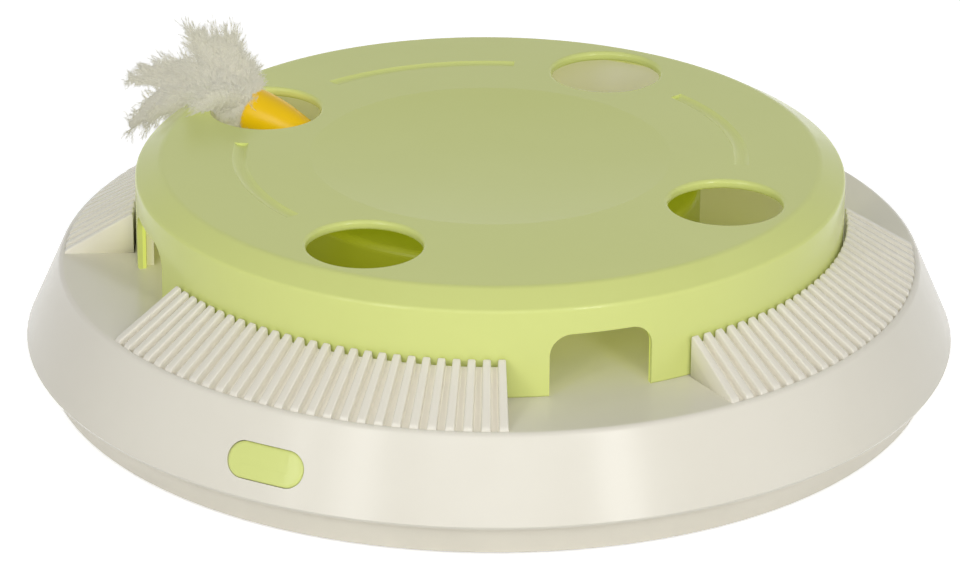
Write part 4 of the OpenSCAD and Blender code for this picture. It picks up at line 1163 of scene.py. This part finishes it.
@dataclass
class Plume:
    """The down plume: feathers that leave the sleeve's end and lie clear of the cover."""

    wand: Wand
    cover_top: float = 67.4 * MM
    cover_r: float = 106.1 * MM
    top_r: float = 98.5 * MM
    bevel_low: float = 63.0 * MM
    clear_up: float = 0.25 * MM
    clear_out: float = 0.4 * MM
    hole_at: float = 77.5 * MM
    hole_r: float = 16.0 * MM
    hole_turn: float = math.radians(135)
    feathers: tuple[Feather, ...] = (
        Feather("collar", (2.4, 0, 2.2), (5.4, 1, 4.2), 8.0, 22, 10),
        Feather("top", (15.3, -3, 12.1), (18.4, -4, 18.4), 6.5, 30, 11),
        Feather("top_right", (11.6, -4, 11.9), (12.4, -5, 20.6), 5.5, 28, 12),
        Feather("top_left", (18.4, -1, 11.5), (22.0, 0, 21.3), 5.0, 28, 13),
        Feather("right", (8.7, -4, 6.5), (7.1, -4, 14.1), 4.5, 22, 14),
        Feather("right_low", (7.2, -5, 3.2), (3.4, -5, 11.2), 3.8, 20, 15),
        Feather("left_mid", (22.2, -1, 8.7), (34.1, -1, 7.3), 5.5, 26, 16),
        Feather("left_high", (28.1, -2, 5.8), (43.9, -2, 4.3), 3.6, 22, 17),
        Feather("left", (29.0, -1, 4.7), (46.8, 0, 1.0), 2.6, 18, 18),
        Feather("droop", (22.3, 2, 13.0), (45.1, 2, -14.0), 4.8, 28, 19),
        Feather("droop_front", (18.1, 5, 12.2), (36.5, 5, -9.2), 5.0, 28, 20),
        Feather("body", (10.6, 2, 8.1), (23.4, 4, 5.5), 8.5, 24, 21),
        Feather("front", (5.1, 7, 7.3), (10.9, 13, 6.1), 7.0, 26, 22),
        Feather("lap", (4.0, 8, 8.2), (8.4, 18, 6.4), 5.5, 26, 26),
        Feather("fill", (10.8, 5, 7.1), (24.3, 6, 1.7), 6.0, 24, 23),
        Feather("low", (0.6, 4, 2.0), (3.1, 8, 1.8), 5.0, 20, 24),
        Feather("hollow", (-0.2, 3, 0.2), (3.6, 5, -2.0), 4.5, 18, 25),
    )

    def build(self) -> list[bpy.types.Object]:
        """Builds every feather as two pieces: its web, and the down on it.

        Down scatters light rather than stopping it, so it throws no shadow on itself.

        Returns:
            The pieces.
        """
        pieces = []
        for feather in self.feathers:
            for part, tufts in feather.build().items():
                piece = self._piece(f"feather_{feather.name}_{part}", tufts)
                piece.visible_shadow = False
                pieces.append(piece)
        return pieces

    def _piece(self, name: str, tufts: list[Tuft]) -> bpy.types.Object:
        """Joins tufts into one piece in its place.

        Args:
            name: Name of the piece.
            tufts: The tufts, in the sleeve's own directions.

        Returns:
            The piece.
        """
        first = np.cumsum([0] + [len(tuft.points) for tuft in tufts])
        local = np.concatenate([tuft.points for tuft in tufts])
        axes = np.stack([self.wand.out, self.wand.beside, self.wand.up])
        return new_piece(
            name,
            self._clear(self.wand.at(self.wand.sleeve_to) + local @ axes),
            np.concatenate([tuft.triangles + k for tuft, k in zip(tufts, first)]),
            along=np.concatenate([tuft.along for tuft in tufts]),
            tone=np.concatenate([tuft.tone for tuft in tufts]),
        )

    def _clear(self, points: Array) -> Array:
        """Lifts points off the cover's top and bevel, except over the hole that the plume leaves by.

        Args:
            points: Positions, three to a row.

        Returns:
            The lifted positions.
        """
        x, y, z = points.T
        away = np.hypot(x, y)
        fall = np.clip((away - self.top_r) / (self.cover_r - self.top_r), 0, 1)
        ground = self.cover_top - fall * (self.cover_top - self.bevel_low) + self.clear_up
        hole_x, hole_y = self.hole_at * math.cos(self.hole_turn), self.hole_at * math.sin(self.hole_turn)
        over_hole = np.hypot(x - hole_x, y - hole_y) < self.hole_r
        free = over_hole | (away > self.cover_r + self.clear_out)
        return np.stack([x, y, np.where(free, z, np.maximum(z, ground))], -1)


@dataclass(frozen=True)
class Lamp:
    """One softbox: degrees to the right of the camera, distance, width and height in metres, and power.

    A softbox without glints lights the toy and isn't mirrored in it.
    """

    name: str
    aside: float
    elevation: float
    away: float
    size: tuple[float, float]
    watts: float
    glints: bool = True


@dataclass
class Studio:
    """Camera, lamps, white surroundings and floor."""

    turn: float = -17.4
    elevation: float = 23.833
    roll: float = -0.414
    stand: Place = (-2.79 * MM, -1342.3 * MM, 614.7 * MM)
    lens: float = 181.856
    sensor: float = 36.0
    sight: float = 20.0
    fill: float = 0.245
    lamps: tuple[Lamp, ...] = (
        Lamp("strip_left", -31.0, 27.0, 1.5, (0.25, 0.8), 4.75),
        Lamp("strip_left_outer", -46.0, 27.0, 1.5, (0.1, 0.8), 2.2),
        Lamp("strip_right", 31.0, 27.0, 1.5, (0.25, 0.8), 6.0),
        Lamp("softbox_front", 0.0, 26.0, 1.6, (0.9, 0.7), 4.4),
        Lamp("softbox_low_left", -95.0, 10.0, 1.5, (0.8, 0.4), 1.0, glints=False),
        Lamp("softbox_low_right", 75.0, 14.0, 1.5, (0.8, 0.4), 3.0, glints=False),
        Lamp("softbox_back_left", -162.0, 9.0, 1.6, (0.9, 0.45), 5.6, glints=False),
        Lamp("softbox_back_right", 162.0, 9.0, 1.6, (0.9, 0.45), 5.6, glints=False),
    )
    lamp_aim: float = 40 * MM
    floor_hub: float = 1 * MM
    floor_r: float = 4.0
    floor_rings: int = 12
    floor_sides: int = 64
    floor_grey: float = 0.86
    floor_glow: float = 0.56

    def build(self) -> None:
        """Builds the whole studio."""
        bpy.context.scene.view_settings.view_transform = "Standard"
        self._camera()
        for lamp in self.lamps:
            self._hang(lamp)
        self._surroundings()
        self._floor()

    def _camera(self) -> None:
        """Stands the camera where the photo was taken from."""
        data = bpy.data.cameras.new("photo_camera")
        data.sensor_width, data.lens, data.clip_end = self.sensor, self.lens, self.sight
        camera = bpy.data.objects.new("photo_camera", data)
        e, r = math.radians(self.elevation), math.radians(self.roll)
        right, up = Vector((1, 0, 0)), Vector((0, math.sin(e), math.cos(e)))
        back = Vector((0, -math.cos(e), math.sin(e)))
        x, y = math.cos(r) * right - math.sin(r) * up, math.sin(r) * right + math.cos(r) * up
        pose = Matrix((x, y, back)).transposed().to_4x4()
        pose.translation = Vector(self.stand)
        camera.matrix_world = Matrix.Rotation(math.radians(self.turn), 4, "Z") @ pose
        bpy.context.scene.collection.objects.link(camera)
        bpy.context.scene.camera = camera

    def _hang(self, lamp: Lamp) -> None:
        """Hangs one softbox that faces the toy.

        Args:
            lamp: Its place, size and power.
        """
        data = bpy.data.lights.new(lamp.name, "AREA")
        data.shape = "RECTANGLE"
        data.size, data.size_y = lamp.size
        data.energy = lamp.watts
        softbox = bpy.data.objects.new(lamp.name, data)
        softbox.visible_glossy = lamp.glints
        a, e = math.radians(self.turn + lamp.aside), math.radians(lamp.elevation)
        away = Vector((math.sin(a) * math.cos(e), -math.cos(a) * math.cos(e), math.sin(e)))
        softbox.location = away * lamp.away + Vector((0, 0, self.lamp_aim))
        softbox.rotation_euler = away.to_track_quat("Z", "Y").to_euler()
        bpy.context.scene.collection.objects.link(softbox)

    @staticmethod
    def _seen(graph: Graph) -> Socket:
        """Adds a mask of the rays that should see a white background.

        Args:
            graph: The graph to add it to.

        Returns:
            The mask.
        """
        path = graph.add("ShaderNodeLightPath").outputs
        clear = graph.math("MAXIMUM", path["Is Glossy Ray"], path["Is Transmission Ray"])
        return graph.math("MAXIMUM", path["Is Camera Ray"], clear)

    def _surroundings(self) -> None:
        """Makes the world a dim, even fill that looks plain white."""
        world = bpy.data.worlds.new("white_studio")
        world.use_nodes = True
        bpy.context.scene.world = world
        graph = Graph(world.node_tree)
        strength = graph.span(self._seen(graph), 0.0, 1.0, self.fill, 1.0)
        graph.feed(world.node_tree.nodes["Background"], Color=WHITE, Strength=strength)

    def _floor(self) -> None:
        """Lays a round white floor that keeps the toy's shadow.

        The floor is a polar grid: radius by angle.
        """
        radius = np.linspace(self.floor_hub, self.floor_r, self.floor_rings)[:, None]
        angle = around(self.floor_sides)
        rings = np.stack([radius * np.cos(angle), radius * np.sin(angle), 0 * radius * angle], -1)
        bands = grid_triangles(self.floor_rings, self.floor_sides)[:, ::-1]
        faces = np.concatenate([bands, fan_triangles(0, self.floor_sides, flip=False)])
        floor = new_piece("floor", rings.reshape(-1, 3), faces)
        material, graph, shader = blank("white_floor")
        material.node_tree.nodes.remove(shader)
        matt = graph.add("ShaderNodeBsdfDiffuse", Color=(*[self.floor_grey] * 3, 1.0))
        strength = graph.math("MULTIPLY", self._seen(graph), self.floor_glow)
        glow = graph.add("ShaderNodeEmission", Strength=strength)
        both = graph.add("ShaderNodeAddShader", in0=matt.outputs[0], in1=glow.outputs[0])
        graph.feed(material.node_tree.nodes["Material Output"], Surface=both.outputs[0])
        floor.data.materials.append(material)


def main() -> None:
    """Builds the studio, the new pieces and the finishes."""
    logging.basicConfig(level=logging.INFO, format="%(message)s")
    Studio().build()
    wardrobe = Wardrobe()
    LOG.info("dressed %d CAD nodes", wardrobe.dress_nodes())
    ramps = {node: Ramp(node, math.radians(turn)).build() for node, turn in RAMP_TURNS.items()}
    wand = Wand()
    pieces = [
        *((ramp, Slot.BASE, Body.BASE, node) for node, ramp in ramps.items()),
        (Button().build(), Slot.COVER, Body.BUTTON, "power_button"),
        (Sleeve(wand).build(), Slot.SLEEVE, Body.ROTOR, "feather_sleeve"),
        *((feather, Slot.PLUME, Body.ROTOR, "feather_plume") for feather in Plume(wand).build()),
    ]
    for piece, slot, body, node in pieces:
        wardrobe.dress_piece(piece, slot, body, node)
        LOG.info("built %s with %d triangles", piece.name, len(piece.data.polygons))


if __name__ == "__main__":
    main()
